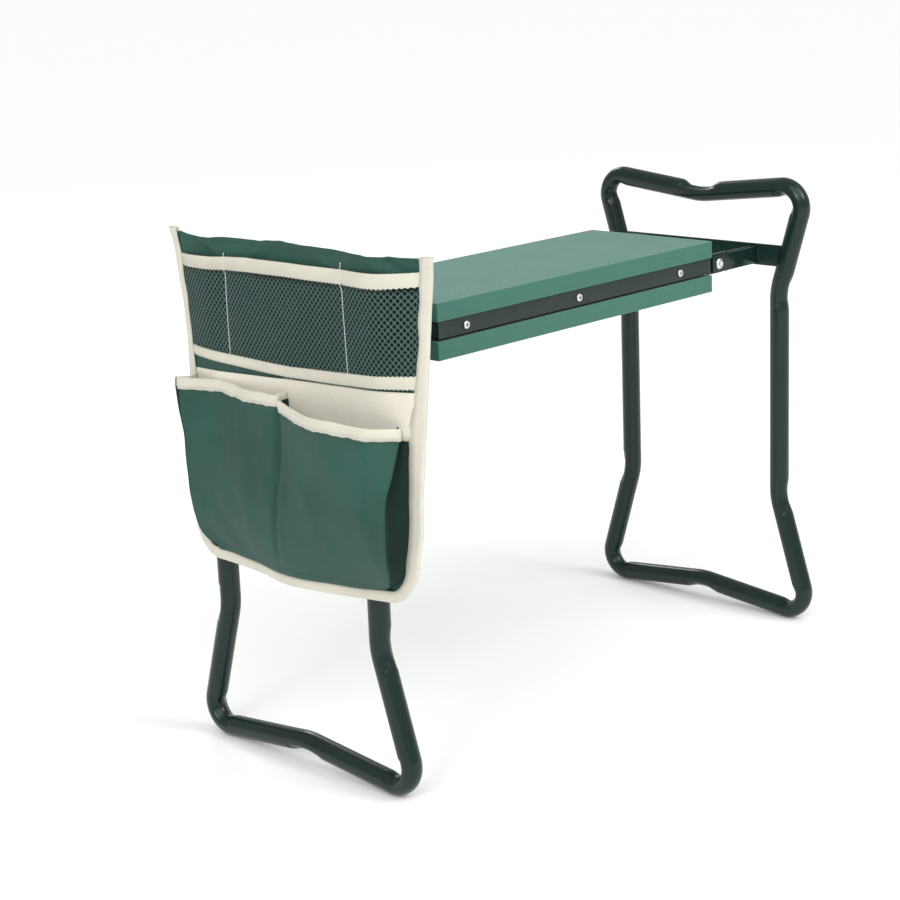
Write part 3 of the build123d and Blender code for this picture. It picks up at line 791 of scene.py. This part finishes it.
def wrinkle(yp, z):
    """Slow folds in the hanging cloth."""
    total = 0.55 * np.sin(yp * 0.043 + 0.6) * np.cos(z * 0.019 + 0.3)
    total = total + 0.35 * np.sin(yp * 0.017 - z * 0.037 + 1.1)
    total = total + 0.18 * np.sin(yp * 0.11 + z * 0.06)
    hem = smoothstep((z - 70) / 14)
    for middle, lean, size, width in STRIP_FOLDS:
        total = total + 1.7 * hem * size * fold(yp, z, middle, lean, width, 85)
    return total + crumple(yp, z) * (0.35 + 0.65 * hem)


def belly(yp, z):
    """The loaded lower half of the pouch swings out in its middle."""
    return 14.0 * np.exp(-(((yp - 3) / 50) ** 2)) * smoothstep((-60 - z) / 135)


# How far each free edge falls back by depth below the seat's middle
FRONT_FALL = (
    [-95, -57, -29, 0, 30, 76, 110, 160, 210],
    [-25, -20.5, -16.5, -13.5, -10, -4.5, 0, 3, 3],
)
REAR_FALL = ([-98, -75, -32, 7, 60, 120, 200], [3, -1, -6, -8, -7, -4, -1])


def side_fall(yp, z):
    """Both free edges fall back past the tube, most beside the handle."""
    front = np.interp(-z, *FRONT_FALL) * smoothstep((-yp - 96) / 58)
    return front + np.interp(-z, *REAR_FALL) * smoothstep((yp - 96) / 58)


def panel_t(yp, z):
    """Depth of the back panel's middle surface."""
    yp, z = np.broadcast_arrays(np.asarray(yp, float), np.asarray(z, float))
    return PANEL_T + wrinkle(yp, z) + belly(yp, z) + side_fall(yp, z)


def sheet_grid(across, heights, depth, inset):
    """Grid over the pouch outline: across in -1..1, heights top to bottom."""
    z = np.asarray(heights)[None, :]
    yp = np.asarray(across)[:, None] * half_width(z, inset)
    z = np.broadcast_to(z, yp.shape)
    return place(yp, z, depth(yp, z))


# ---- back panel and edge tape
ACROSS = np.linspace(-1, 1, 110)
# The top edge's wave, eased out over the first rows of the panel
TOP_ROWS = 8
TOP_LINE = [(-150, -5.5), (-110, -5.5), (-70, -3), (0, -1.2), (60, -2.4), (95, -3.6), (120, -5.5)]
TOP_LINE += [(138, -2), (150, 0)]
panel_rows = [*np.linspace(PANEL_TOP - 0.2, -165, 84), *np.linspace(-167, BOTTOM + 1.4, 22)]
panel_grid = sheet_grid(ACROSS, panel_rows, lambda yp, z: panel_t(yp, z) + 0.8, 1.4)
top_wave = np.interp(ACROSS * HALF, *zip(*TOP_LINE)) + 0.4 * np.sin(ACROSS * 15)
panel_grid[:, :TOP_ROWS, 2] += top_wave[:, None] * np.linspace(1, 0, TOP_ROWS)[None, :]
add_sheet("pouch_panel", panel_grid, 1.6, OXFORD, "pouch_back_panel")

# Section of the edge tape: distance inward from the pouch's edge, and depth
EDGE_SECTION = [(11.5, 2.2), (6, 2.5), (1.4, 2.3), (0.2, 1.7), (-0.35, 0.6), (-0.35, -0.6)]
EDGE_SECTION += [(0.2, -1.5), (1.4, -1.9), (6, -1.95), (11.5, -1.75), (11.5, -0.95), (6, -1.0)]
EDGE_SECTION += [(1.3, -0.95), (0.7, 0.0), (1.3, 1.2), (6, 1.5), (11.5, 1.4)]
# Width of the edge tape by height, as a share of its section
TAPE_HEIGHTS = [-204, -185, -150, -60, -40, -20, 10, 60, 95]
FRONT_TAPE = [0.9, 1.1, 1.3, 1.3, 1.2, 0.96, 0.76, 0.8, 0.9]
REAR_TAPE = [0.9, 1.0, 1.0, 1.0, 1.0, 0.8, 0.66, 0.7, 0.84]


def outline_path(step):
    """The pouch's edge from the rear ear, round the bottom, to the front ear, each spot with the
    direction inward."""

    def corner_turn(side, start, end):
        turns = zip(arc((HALF - CORNER, 0), CORNER, start, end, 20), arc((0, 0), 1, start, end, 20))
        return [(side * y, BOTTOM + CORNER - z, -side * iy, iz) for (y, z), (iy, iz) in turns]

    spots = [(HALF, z, -1.0, 0.0) for z in np.arange(EAR_TOP - 0.5, BOTTOM + CORNER, -step)]
    spots += corner_turn(1, 0, 90)
    spots += [(y, BOTTOM, 0.0, 1.0) for y in np.arange(HALF - CORNER - step, -HALF + CORNER, -step)]
    spots += corner_turn(-1, 90, 0)
    spots += [(-HALF, z, 1.0, 0.0) for z in np.arange(BOTTOM + CORNER + step, EAR_TOP - 6.5, step)]
    return spots


def edge_tape(name, node):
    """Folded tape swept round the pouch's edge, following the panel's depth."""
    rings = []
    for y, z, iy, iz in outline_path(2.5):
        flare = 2.2 * float(smoothstep((z - 78) / 20)) if y > 0 else 0.0
        wave = 0.35 * math.sin(z * 0.13 + y * 0.09)
        width = float(np.interp(z, TAPE_HEIGHTS, FRONT_TAPE if y < 0 else REAR_TAPE))
        width += 0.035 * math.sin(z * 0.21 + y * 0.17)
        edge_y = y - iy * (wave * 0.4 - 0.3)
        ring = []
        for a, b in EDGE_SECTION:
            y1, z1 = edge_y + iy * a * width, z + iz * a * width
            ring.append(place(y1, z1, float(panel_t(y1, min(z1, PANEL_TOP + 6))) + flare + b))
        rings.append(ring)
    add_tube(name, np.array(rings), TAPE, "pouch", node)


edge_tape("pouch_edge_tape", "pouch_edge_binding")

# ---- net pocket between two tapes
NET_TOP, NET_BOTTOM = 66.0, -14.0
SEAMS = (-HALF + 8, -68.0, 80.0, HALF - 8)


def net_t(yp, z):
    """Depth of the net: it bellies between its seams, most at its open top."""
    yp, z = np.asarray(yp, float), np.asarray(z, float)
    bulge = np.zeros(np.broadcast(yp, z).shape)
    for left, right in zip(SEAMS[:-1], SEAMS[1:]):
        a = np.clip((yp - left) / (right - left), 0, 1)
        bulge = np.maximum(bulge, np.sin(math.pi * a) ** 0.8 * (3.4 + 0.6 * math.sin(left)))
    tall = 0.35 + 0.65 * smoothstep((z - NET_BOTTOM) / 60)
    return panel_t(yp, z) + 1.5 + bulge * tall


def net_piece(name, node):
    """Knitted net with diamond holes: every cell is a ring of cord round an open middle."""
    wide, tall, thick, hole, corner_cut = 5.0, 3.0, 0.6, 0.79, 0.16
    reach = HALF - 7.5
    points, faces, shared = [], [], {}
    corners = [(-wide / 2, 0.0), (0.0, -tall), (wide / 2, 0.0), (0.0, tall)]

    def corner(y, z):
        key = (round(y * 20), round(z * 20))
        if key not in shared:
            shared[key] = len(points)
            points.extend([(y, z, 0.0), (y, z, thick)])
        return shared[key]

    for row in range(int((NET_TOP - NET_BOTTOM) / tall)):
        z = NET_BOTTOM + row * tall
        shift = wide / 2 if row % 2 else 0.0
        for col in range(int(2 * reach / wide) + 1):
            y = -reach + col * wide + shift
            if y > reach:
                continue
            ring = [corner(y + dy, z + dz) for dy, dz in corners]
            inner = []
            for dy, dz in corners:
                for turn in (-corner_cut, corner_cut):
                    ry = dy * hole * (1 - corner_cut) - turn * dz * (wide / 2 / tall) * hole
                    rz = dz * hole * (1 - corner_cut) + turn * dy * (tall * 2 / wide) * hole
                    inner.append(len(points))
                    points.extend([(y + ry, z + rz, 0.15), (y + ry, z + rz, thick - 0.1)])
            for k in range(4):
                here, after = ring[k], ring[(k + 1) % 4]
                a, b, c = inner[2 * k], inner[2 * k + 1], inner[2 * ((k + 1) % 4)]
                faces += [(b, c, after, here), (a, b, here)]
                faces += [(after + 1, c + 1, b + 1, here + 1), (b + 1, a + 1, here + 1)]
                faces += [(b + 1, c + 1, c, b), (a + 1, b + 1, b, a)]
    # Edges used once run round the net's border; a wall closes front to back along each
    uses = {}
    for face in faces:
        for a, b in zip(face, face[1:] + face[:1]):
            uses.setdefault((min(a, b), max(a, b)), []).append((a, b))
    outer = set(shared.values())
    for found in uses.values():
        a, b = found[0]
        if len(found) == 1 and a in outer and b in outer:
            faces.append((b, a, a + 1, b + 1))
    y, z, back = np.array(points).T
    solid = place(y, z, net_t(y, z) - back)
    uv = np.stack([y, z], axis=1)
    add_piece(name, solid, faces, NET, "pouch", node, uv=uv, smooth=False)


net_piece("net_pocket", "mesh_pocket")
# A dark sheet just behind the net, where there is only shade: painted shadow that darkens the net's
# holes
shadow_sheet_rows = np.linspace(NET_TOP + 2, NET_BOTTOM - 4, 50)
shadow_sheet_grid = sheet_grid(
    np.linspace(-1, 1, 70), shadow_sheet_rows, lambda y, z: panel_t(y, z) + 1.15, 7
)
add_sheet("net_painted_shadow", shadow_sheet_grid, 0.5, SHADOW)


def tape_band(name, top, bottom, depth, node, teeth):
    """Woven tape across the pouch between two edge lines, with small saw teeth on both edges."""
    thickness, pitch = 1.2, 3.9

    def tooth(y, size):
        return size * np.abs(2 * ((y / pitch) % 1.0) - 1)

    yp = np.linspace(6.5 - HALF, HALF - 6.5, 560)
    rows = np.array([0.0, 0.08, 0.3, 0.5, 0.7, 0.92, 1.0])
    high = np.interp(yp, *zip(*top)) - tooth(yp, teeth[0])
    low = np.interp(yp, *zip(*bottom)) + tooth(yp + 1.3, teeth[1])
    z = high[:, None] * (1 - rows) + low[:, None] * rows
    y = np.broadcast_to(yp[:, None], z.shape)
    # The last centimetre at each end tucks under the pouch's edge tape
    tuck = smoothstep((HALF - 7 - np.abs(y)) / 12)
    t = panel_t(y, z) * (1 - tuck) + depth(y, z) * tuck + thickness + 0.25 * np.sin(math.pi * rows)
    add_sheet(name, place(y, z, t), thickness, TAPE, node)


UPPER_TOP = [(-140, 78), (-110, 77), (-60, 77.2), (0, 77.8), (50, 77.5), (95, 74.5), (140, 73.5)]
UPPER_LOW = [(-140, 65.5), (-110, 63.5), (-60, 64), (0, 65), (50, 64.5), (95, 62.5), (140, 62)]
LOWER_TOP = [(-140, -5.5), (-100, -8), (-60, -10), (0, -12.0), (60, -11.0), (140, -9.5)]
LOWER_LOW = [(-140, -17.5), (-100, -19.5), (-60, -21.5), (0, -22.5), (60, -21.5), (140, -19)]


def upper_t(y, z):
    return net_t(y, np.minimum(z, NET_TOP)) + 0.2


def lower_t(y, z):
    return net_t(y, NET_BOTTOM) * 0.3 + (panel_t(y, z) + 2.4) * 0.7


tape_band("upper_tape", UPPER_TOP, UPPER_LOW, upper_t, "upper_webbing", (0.3, 1.2))
tape_band("lower_tape", LOWER_TOP, LOWER_LOW, lower_t, "lower_webbing", (1.1, 1.1))


# ---- gusseted double pocket
MOUTH = -38.0
# Depth of the pocket front by height (rows) and by share of the half width (columns)
POCKET_STATIONS = [-1.0, -0.95, -0.86, -0.62, -0.35, -0.12, 0.06, 0.2, 0.42, 0.7, 0.9, 1.0]
POCKET_HEIGHTS = [-38, -47, -70, -100, -130, -160, -182, -196]
POCKET_DEPTHS = [
    [27, 47, 55, 60, 58, 48, 38, 37, 32, 26, 28, 37],
    [27, 47, 55, 60, 58, 47, 37, 37, 33, 27, 29, 38],
    [38, 48, 54, 59, 57, 47, 37, 38, 35, 31, 34, 40],
    [50, 52, 55, 58, 55, 46, 38, 40, 38, 35, 37, 40],
    [53, 54, 55, 56, 53, 45, 39, 41, 40, 37, 38, 39],
    [50, 50, 50, 49, 47, 42, 38, 39, 38, 35, 35, 35],
    [41, 40, 39, 38, 37, 35, 33, 33, 32, 30, 29, 29],
    [24, 25, 26, 27, 27, 27, 26, 26, 26, 25.5, 25, 24.5],
]
# How far the mouth hangs below level at each station
MOUTH_DROP = [11.0, 9.0, 7.0, 5.0, 4.4, 3.0, -1.0, -1.2, 0.0, -2.0, 0.0, -1.0]
# Folds in the pocket front: middle, lean, height, half width, and the heights they span
BAY_FOLDS = [(-96, 0.35, 1.5, 9, -190, -50), (-60, -0.15, -1.1, 12, -180, -60)]
BAY_FOLDS += [(-112, 0.15, -1.3, 6, -170, -60), (58, 0.12, 1.2, 12, -190, -50)]
BAY_FOLDS += [(92, -0.25, -1.2, 10, -185, -60), (30, 0.3, 0.8, 8, -170, -90)]
# Cloth insets from the pouch's edge, and the pocket's grid across and down
FRONT_INSET = 14.5
GUSSET_INSET = {-1: 14.0, 1: 11.5}
POCKET_COLUMNS, POCKET_ROWS = 150, 100
HEM_ROW = 92


def blur(values, passes):
    """Softens a grid in both directions, keeping its borders."""
    for _ in range(passes):
        inner = values.copy()
        inner[1:-1, :] = (values[:-2, :] + 2 * values[1:-1, :] + values[2:, :]) / 4
        values = inner.copy()
        inner[:, 1:-1] = (values[:, :-2] + 2 * values[:, 1:-1] + values[:, 2:]) / 4
        values = inner
    return values


def pocket_surface():
    """The pocket front as grids of yp, z and depth."""
    a = np.linspace(-1, 1, POCKET_COLUMNS)
    spacing = np.linspace(0, 1, len(POCKET_HEIGHTS))
    level = np.interp(np.linspace(0, 1, POCKET_ROWS), spacing, POCKET_HEIGHTS)
    by_height = np.array([np.interp(a, POCKET_STATIONS, row) for row in POCKET_DEPTHS])
    below = [-h for h in POCKET_HEIGHTS]
    depth = blur(np.array([np.interp(-level, below, column) for column in by_height.T]), 22)
    fall = smoothstep((level + 130) / 92)[None, :]
    z = level[None, :] - np.interp(a, POCKET_STATIONS, MOUTH_DROP)[:, None] * fall
    high = smoothstep((level + 90) / 50)[None, :]
    # The front tucks inside the tape at the bottom corners and is drawn rearward at its mouth
    yp = a[:, None] * np.minimum(half_width(z, FRONT_INSET), HALF - FRONT_INSET)
    yp = yp + 8 * smoothstep((a - 0.8) / 0.2)[:, None] * high
    yp = yp + 4.5 * smoothstep((-a - 0.8) / 0.2)[:, None] * high
    ridge = yp - DIVIDER
    fade = smoothstep((level + 195) / 60)[None, :]
    depth = depth - 4.2 * np.exp(-(((ridge - 1) / 3.8) ** 2)) * fade
    depth = depth + 1.8 * np.exp(-(((ridge + 8) / 5.0) ** 2)) * fade
    depth = depth + 0.8 * np.sin(yp * 0.06 + z * 0.021) * fade
    depth = depth + 0.5 * np.sin(yp * 0.13 - z * 0.05 + 0.8) * fade
    for middle, lean, size, width, low, top in BAY_FOLDS:
        band = smoothstep((z - low) / 40) * smoothstep((top - z) / 40)
        depth = depth + size * band * fold(yp, z, middle, lean, width, -90)
    # Drag lines from the two bottom corners
    for side in (-1, 1):
        aside = yp - side * 96
        along = -aside * side * 0.62 + (z + 186) * 0.78
        depth = depth + 0.9 * np.sin(along * 0.19) * np.exp(-(aside**2 + (z + 176) ** 2) / 1900)
    depth = depth + crumple(yp + 37, z - 11) * fade * 1.25
    return yp, z, depth + belly(yp, z)


POCKET_Y, POCKET_Z, POCKET_T = pocket_surface()
add_sheet("pocket_cloth", place(POCKET_Y, POCKET_Z, POCKET_T), 1.0, OXFORD, "pocket_front")


def lining_t(yp, z):
    return panel_t(yp, z) + 1.9 + 0.45 * np.sin(yp * 0.03 + 0.5) * smoothstep((z + 60) / 35)


# Lining of the back wall behind the mouth, its top edge lifted to a slope over the first rows
LIFT_ROWS = 6
lining_rows = np.array([*np.linspace(-25, -60, 16), *np.linspace(-64, BOTTOM + 18, 26)])
lining_inset = 11 + 4.5 * smoothstep((-42 - lining_rows[None, :]) / 10)
lining_grid = sheet_grid(np.linspace(-1, 1, 80), lining_rows, lining_t, lining_inset)
lift = np.interp(lining_grid[:, 0, 1] - POUCH_Y, [-140, -60, 0, 60, 140], [5.5, 2.5, 1, -2, -6])
lining_grid[:, :LIFT_ROWS, 2] += lift[:, None] * np.linspace(1, 0, LIFT_ROWS)[None, :]
add_sheet("pocket_back_lining", lining_grid, 0.7, LINING, "pocket_lining")


def gusset(name, side, node):
    """Side wall folded inward, from the lining's edge to the pocket front's edge."""
    column = 0 if side < 0 else -1
    front_y, z, front_t = (g[column, :HEM_ROW] for g in (POCKET_Y, POCKET_Z, POCKET_T))
    back_y = side * half_width(z, GUSSET_INSET[side])
    a = np.linspace(0, 1, 18)[:, None]
    deep = np.interp(z, [-190, -160, -100, -50, -38], [1.5, 8, 13, 9, 6])
    crease = 1 - np.abs(2 * a - 1) ** 1.25
    yp = back_y * (1 - a) + front_y * a - side * deep * crease
    t = (panel_t(back_y, z) + 1.8) * (1 - a) + (front_t - 0.6) * a
    add_sheet(name, place(yp, z, t), 0.9, GUSSET, node, flip=side > 0)


gusset("front_gusset", -1, "pocket_front_gusset")
gusset("rear_gusset", 1, "pocket_rear_gusset")


def divider_piece(name, node):
    column = int(np.argmin(np.abs(POCKET_Y[:, 20] - DIVIDER)))
    z, front_t = (g[column, 6:HEM_ROW] for g in (POCKET_Z, POCKET_T))
    a = np.linspace(0, 1, 12)[:, None]
    yp = DIVIDER + 1.2 * np.sin(math.pi * a) * np.sin(z / 19)[None, :]
    t = (panel_t(DIVIDER, z) + 2.6) * (1 - a) + (front_t - 0.8) * a
    add_sheet(name, place(yp, z, t), 0.9, GUSSET, node)


divider_piece("divider_cloth", "pocket_divider")

# Spots of the bound mouth's path along each gusset, before and after those of the front
END_SPOTS = 9


def mouth_path():
    """Plan of the bound mouth: up the front gusset, along both bays, back down the rear one."""
    front = np.stack([POCKET_Y[:, 0], POCKET_Z[:, 0], POCKET_T[:, 0] - 0.5], axis=1)
    ends = []
    for side, (y1, z1, t1) in ((-1, front[0]), (1, front[-1])):
        y0 = side * (HALF - GUSSET_INSET[side])
        t0 = float(panel_t(y0, MOUTH)) + 2.4
        run = []
        for k in range(END_SPOTS):
            a = k / END_SPOTS
            bow = 6.0 * (1 - abs(2 * a - 1) ** 1.25)
            run.append((y0 * (1 - a) + y1 * a - side * bow, z1, t0 * (1 - a) + t1 * a))
        ends.append(run)
    return np.array([*ends[0], *front, *ends[1][::-1]])


def mouth_lean():
    """How fast the pocket front swells below its mouth, at each spot of the mouth path."""
    reach = 10
    lower = [np.interp(reach - z[0], -z, t) for z, t in zip(POCKET_Z, POCKET_T)]
    return np.pad((np.array(lower) - POCKET_T[:, 0]) / reach, END_SPOTS)


def rim_tape(name, spots, drop, thick, lean, *nodes):
    """U-shaped tape, drop deep, over a cloth edge that runs along spots; lean slopes its sides."""
    out = left_of(unit(np.gradient(spots[:, [0, 2]], axis=0)))
    # Outer face then inner face, as shares of thick and distances down from the edge
    half = drop * 0.5
    section = [(-1, drop), (-1.1, half), (-1.0, 0.6), (-0.6, -0.3), (0.0, -0.6), (0.6, -0.3)]
    section += [(1.0, 0.6), (1.1, half), (1, drop), (0.42, drop), (0.45, half), (0.4, 1.4)]
    section += [(0, 0.9), (-0.4, 1.4), (-0.45, half), (-0.42, drop)]
    rings = []
    for k, (y, z, t) in enumerate(spots):
        wave = 1 + 0.04 * math.sin(k * 0.41) + 0.03 * math.sin(k * 1.07)
        ring = []
        for share, d in section:
            dy, dt = out[k] * share * thick
            ring.append(place(y + dy, z - d * wave, t + dt + lean[k] * max(d, 0)))
        rings.append(ring)
    add_tube(name, np.array(rings)[::-1], TAPE, "pouch", *nodes)


MOUTH_LEAN = mouth_lean()
rim_tape("mouth_tape", mouth_path(), 10.0, 1.25, MOUTH_LEAN, "pocket_binding")

middle_column = int(np.argmin(np.abs(POCKET_Y[:, 0] - DIVIDER)))
peg_z, peg_end = POCKET_Z[middle_column, 0] + 1.5, POCKET_T[middle_column, 0] + 0.2
peg_start = float(panel_t(DIVIDER, MOUTH)) + 2.8
peg = np.array([(DIVIDER + 2.5, peg_z, t) for t in np.linspace(peg_start, peg_end, 12)])
rim_tape("divider_tape", peg, 9.0, 1.2, np.zeros(12))


# ---- sleeve and its closing strips
def sleeve_piece(name, node):
    """Cloth that runs up the outside of the handle, over it and down to the hook strip."""
    low, high = box_mm(node)
    ys = np.linspace(low[1], high[1], 70)
    radius = (high[0] - low[0]) / 2 - 0.1
    hub, tail_x, bend = (0, HOOP_Z), 15, 5
    under = HOOP_Z - radius
    path = [(radius, z) for z in np.linspace(HOOP_Z - 13, HOOP_Z, 5)[:-1]]
    path += arc(hub, radius, 0, 180, 34) + arc(hub, radius, 180, 270, 16)[1:]
    path += [(t, under) for t in np.linspace(0, tail_x - bend, 6)[1:]]
    path += arc((tail_x - bend, under - bend), bend, 90, 0, 6)[1:]
    path += [(tail_x, z) for z in np.linspace(under - 6, low[2] - MID_Z, 9)]
    path = np.array(path) + (POUCH_X - LEFT_X, 0)
    normal = left_of(unit(np.gradient(path, axis=0)))
    k = np.arange(len(path))[:, None]
    swell = 0.28 * np.sin(ys * 0.09 + k * 0.25) + 0.22 * np.sin(ys * 0.21 - k * 0.13)
    t = path[:, :1] - normal[:, :1] * swell * 0.9
    z = path[:, 1:] - normal[:, 1:] * swell * 0.9
    add_sheet(name, place(ys - POUCH_Y, z, t), 1.3, OXFORD, node, flip=True)


def strip_piece(name, node):
    low, high = box_mm(node)
    ys = np.linspace(low[1], high[1], 60)[:, None] - POUCH_Y
    zs = np.linspace(high[2], low[2], 10)[None, :] - MID_Z
    grid = place(ys, zs, POUCH_X - low[0] + 0.08 * np.sin(ys * 0.3))
    add_sheet(name, grid, high[0] - low[0], HOOK, node)


sleeve_piece("handle_sleeve", "pouch_handle_sleeve")
strip_piece("loop_tape", "pouch_loop_strip")
strip_piece("hook_tape_strip", "pouch_hook_strip")


# ---- stitching
# A stitch along its length: where each ring is, and its share of the thread's radius
STITCH = ((0.0, 0.3), (0.12, 0.8), (0.5, 1.0), (0.88, 0.8), (1.0, 0.3))
STITCH_RISE = 0.25


def stitches(name, spots, material, radius=0.24, spacing=3.2, length=2.3):
    """A row of thread stitches laid along a polyline of frame points, in millimetres."""
    along = running_length(spots)

    def spot_at(s):
        return np.array([np.interp(s, along, spots[:, k]) for k in range(3)])

    parts = []
    for s in np.arange(spacing / 2, along[-1] - spacing / 2, spacing):
        a, b = spot_at(s - length / 2), spot_at(s + length / 2)
        axis = unit(b - a)
        outward = np.array([-1.0, 0, 0])
        e1 = unit(outward - axis * (outward @ axis))
        e2 = np.cross(axis, e1)
        rings = []
        for k, share in STITCH:
            hub = a + (b - a) * k + e1 * STITCH_RISE * math.sin(math.pi * k)
            rings.append(circle_at(hub, radius * share, e1, e2, 6))
        parts.append(ring_mesh(np.array(rings)))
    add_parts(name, parts, material, "pouch")


for number, seam in enumerate(SEAMS[1:3]):
    zs = np.linspace(83 - 4 * number, -19, 60)
    ys = seam + 1.1 * np.sin(zs * 0.03 + number)
    # The seam rides over the upper tape, the net and the lower tape, and sinks at its top end
    over = np.where(zs > 62, 1.75, np.where(zs < -11, 0.9, 0.1)) - np.where(zs > 78, 1.0, 0.0)
    run = place(ys, zs, net_t(ys, np.minimum(zs, NET_TOP)) + over)
    stitches(f"net_seam_{number + 1}", run, THREAD, 0.42, 2.7, 2.4)
for name, yp in (("front_edge_stitches", 7.0 - HALF), ("rear_edge_stitches", HALF - 6.2)):
    zs = np.linspace(86, BOTTOM + CORNER + 6, 110)
    stitches(name, place(yp, zs, panel_t(yp, zs) + 2.2), THREAD)
rim_drop = 8.7
rim_t = POCKET_T[:, 0] + rim_drop * MOUTH_LEAN[END_SPOTS:-END_SPOTS] + 0.95
stitches("mouth_stitches", place(POCKET_Y[:, 0], POCKET_Z[:, 0] - rim_drop, rim_t)[::2], THREAD)
seam_y, seam_z, seam_t = (g[middle_column, 14:88] for g in (POCKET_Y, POCKET_Z, POCKET_T))
stitches("divider_stitches", place(seam_y, seam_z, seam_t + 0.05), GREEN_THREAD)
for number, offset in enumerate((-3.0, 2.5)):
    zs = np.linspace(-22.5, -27.5, 4)
    tack = place(DIVIDER + offset, zs, panel_t(DIVIDER, zs) + 1.2)
    stitches(f"tack_{number + 1}", tack, THREAD, 0.4, 2.2, 2.4)
hem_z = PANEL_TOP - 6.5
ys = np.linspace(-HALF + 13, HALF - 11, 120)
stitches("top_hem_stitches", place(ys, hem_z, panel_t(ys, hem_z) + 0.9), GREEN_THREAD, 0.22)


# ---- stage, light and camera
FLOOR_Z = min(box_mm("left_leg_loop")[0][2], box_mm("right_leg_loop")[0][2]) - 0.3
FLOOR_HALF = 60000


def backdrop():
    """Wide pale floor under the foot bars."""
    s = Shader("pale_floor")
    grain = s.noise(s.coords(), 40.0)
    s.put(Base_Color=s.mix(grain, (0.93, 0.93, 0.92), (0.95, 0.95, 0.945)), Roughness=0.9)
    s.put(Specular_IOR_Level=0.1, Emission_Color=(1.0, 1.0, 1.0, 1.0), Emission_Strength=0.1)
    mesh = bpy.data.meshes.new("floor")
    far, low = FLOOR_HALF * MM, FLOOR_Z * MM
    corners = [(-far, -far, low), (-far, far, low), (far, -far, low), (far, far, low)]
    mesh.from_pydata(corners, [], [(0, 2, 3, 1)])
    mesh.materials.append(s.material)
    new_object("floor", mesh)


def face_along(item, heading):
    item.rotation_euler = Vector(heading).to_track_quat("-Z", "Y").to_euler()


def area_light(name, spot, size, power):
    """Round lamp aimed at the middle of the seat."""
    data = bpy.data.lights.new(name, "AREA")
    data.shape = "DISK"
    data.size = size
    data.energy = power
    lamp = new_object(name, data)
    lamp.location = spot
    face_along(lamp, Vector((0, 0, -0.16)) - Vector(spot))


def soft_sun(name, heading, strength, spread):
    """Large even source at infinity; heading points from the source towards the object."""
    data = bpy.data.lights.new(name, "SUN")
    data.energy = strength
    data.angle = math.radians(spread)
    face_along(new_object(name, data), heading)


def studio_world():
    """Even pale surroundings: dim as a light source, nearly white where the camera sees them."""
    world = bpy.data.worlds.new("studio")
    world.use_nodes = True
    nodes, links = world.node_tree.nodes, world.node_tree.links
    glow = nodes["Background"]
    glow.inputs["Color"].default_value = (0.97, 0.985, 0.98, 1)
    glow.inputs["Strength"].default_value = 0.52
    seen = nodes.new("ShaderNodeBackground")
    seen.inputs["Color"].default_value = (0.97, 0.975, 0.97, 1)
    choose = nodes.new("ShaderNodeMixShader")
    for socket, source in zip(choose.inputs, (nodes.new("ShaderNodeLightPath"), glow, seen)):
        links.new(source.outputs[0], socket)
    links.new(choose.outputs[0], nodes["World Output"].inputs["Surface"])
    bpy.context.scene.world = world


def make_camera(azimuth, elevation, roll, distance, target, lens):
    """Camera at distance from target; azimuth 0 looks along +Y, and roll turns the picture."""
    a, e, r = (math.radians(v) for v in (azimuth, elevation, roll))
    back = np.array([math.sin(a) * math.cos(e), -math.cos(a) * math.cos(e), math.sin(e)])
    right = np.array([math.cos(a), math.sin(a), 0.0])
    up = np.cross(back, right)
    turned = right * math.cos(r) + up * math.sin(r)
    upright = -right * math.sin(r) + up * math.cos(r)
    data = bpy.data.cameras.new("camera")
    data.lens = lens
    data.sensor_width = 36.0
    data.clip_end = 50
    camera = new_object("camera", data)
    turn = Matrix((turned, upright, back)).transposed().to_4x4()
    spot = (np.array(target) + back * distance) * MM
    camera.matrix_world = Matrix.Translation(Vector(spot)) @ turn
    bpy.context.scene.camera = camera


backdrop()
soft_sun("sky_left", (0.8, 0.45, -0.8), 0.95, 50)
soft_sun("sky_front", (-0.1, 0.8, -0.9), 1.0, 45)
area_light("key", (0.7, -2.6, 2.0), 1.0, 16)
area_light("left_fill", (-2.6, -0.9, 1.4), 0.8, 13)
area_light("rear_rim", (1.6, 2.6, 1.7), 0.9, 12)
studio_world()
bpy.context.scene.view_settings.view_transform = "Standard"
bpy.context.scene.view_settings.look = "None"
make_camera(-45.7, 14.5, -2.3, 1962.4, (-109.7, 0.0, -137.5 + MID_Z), 82.6)
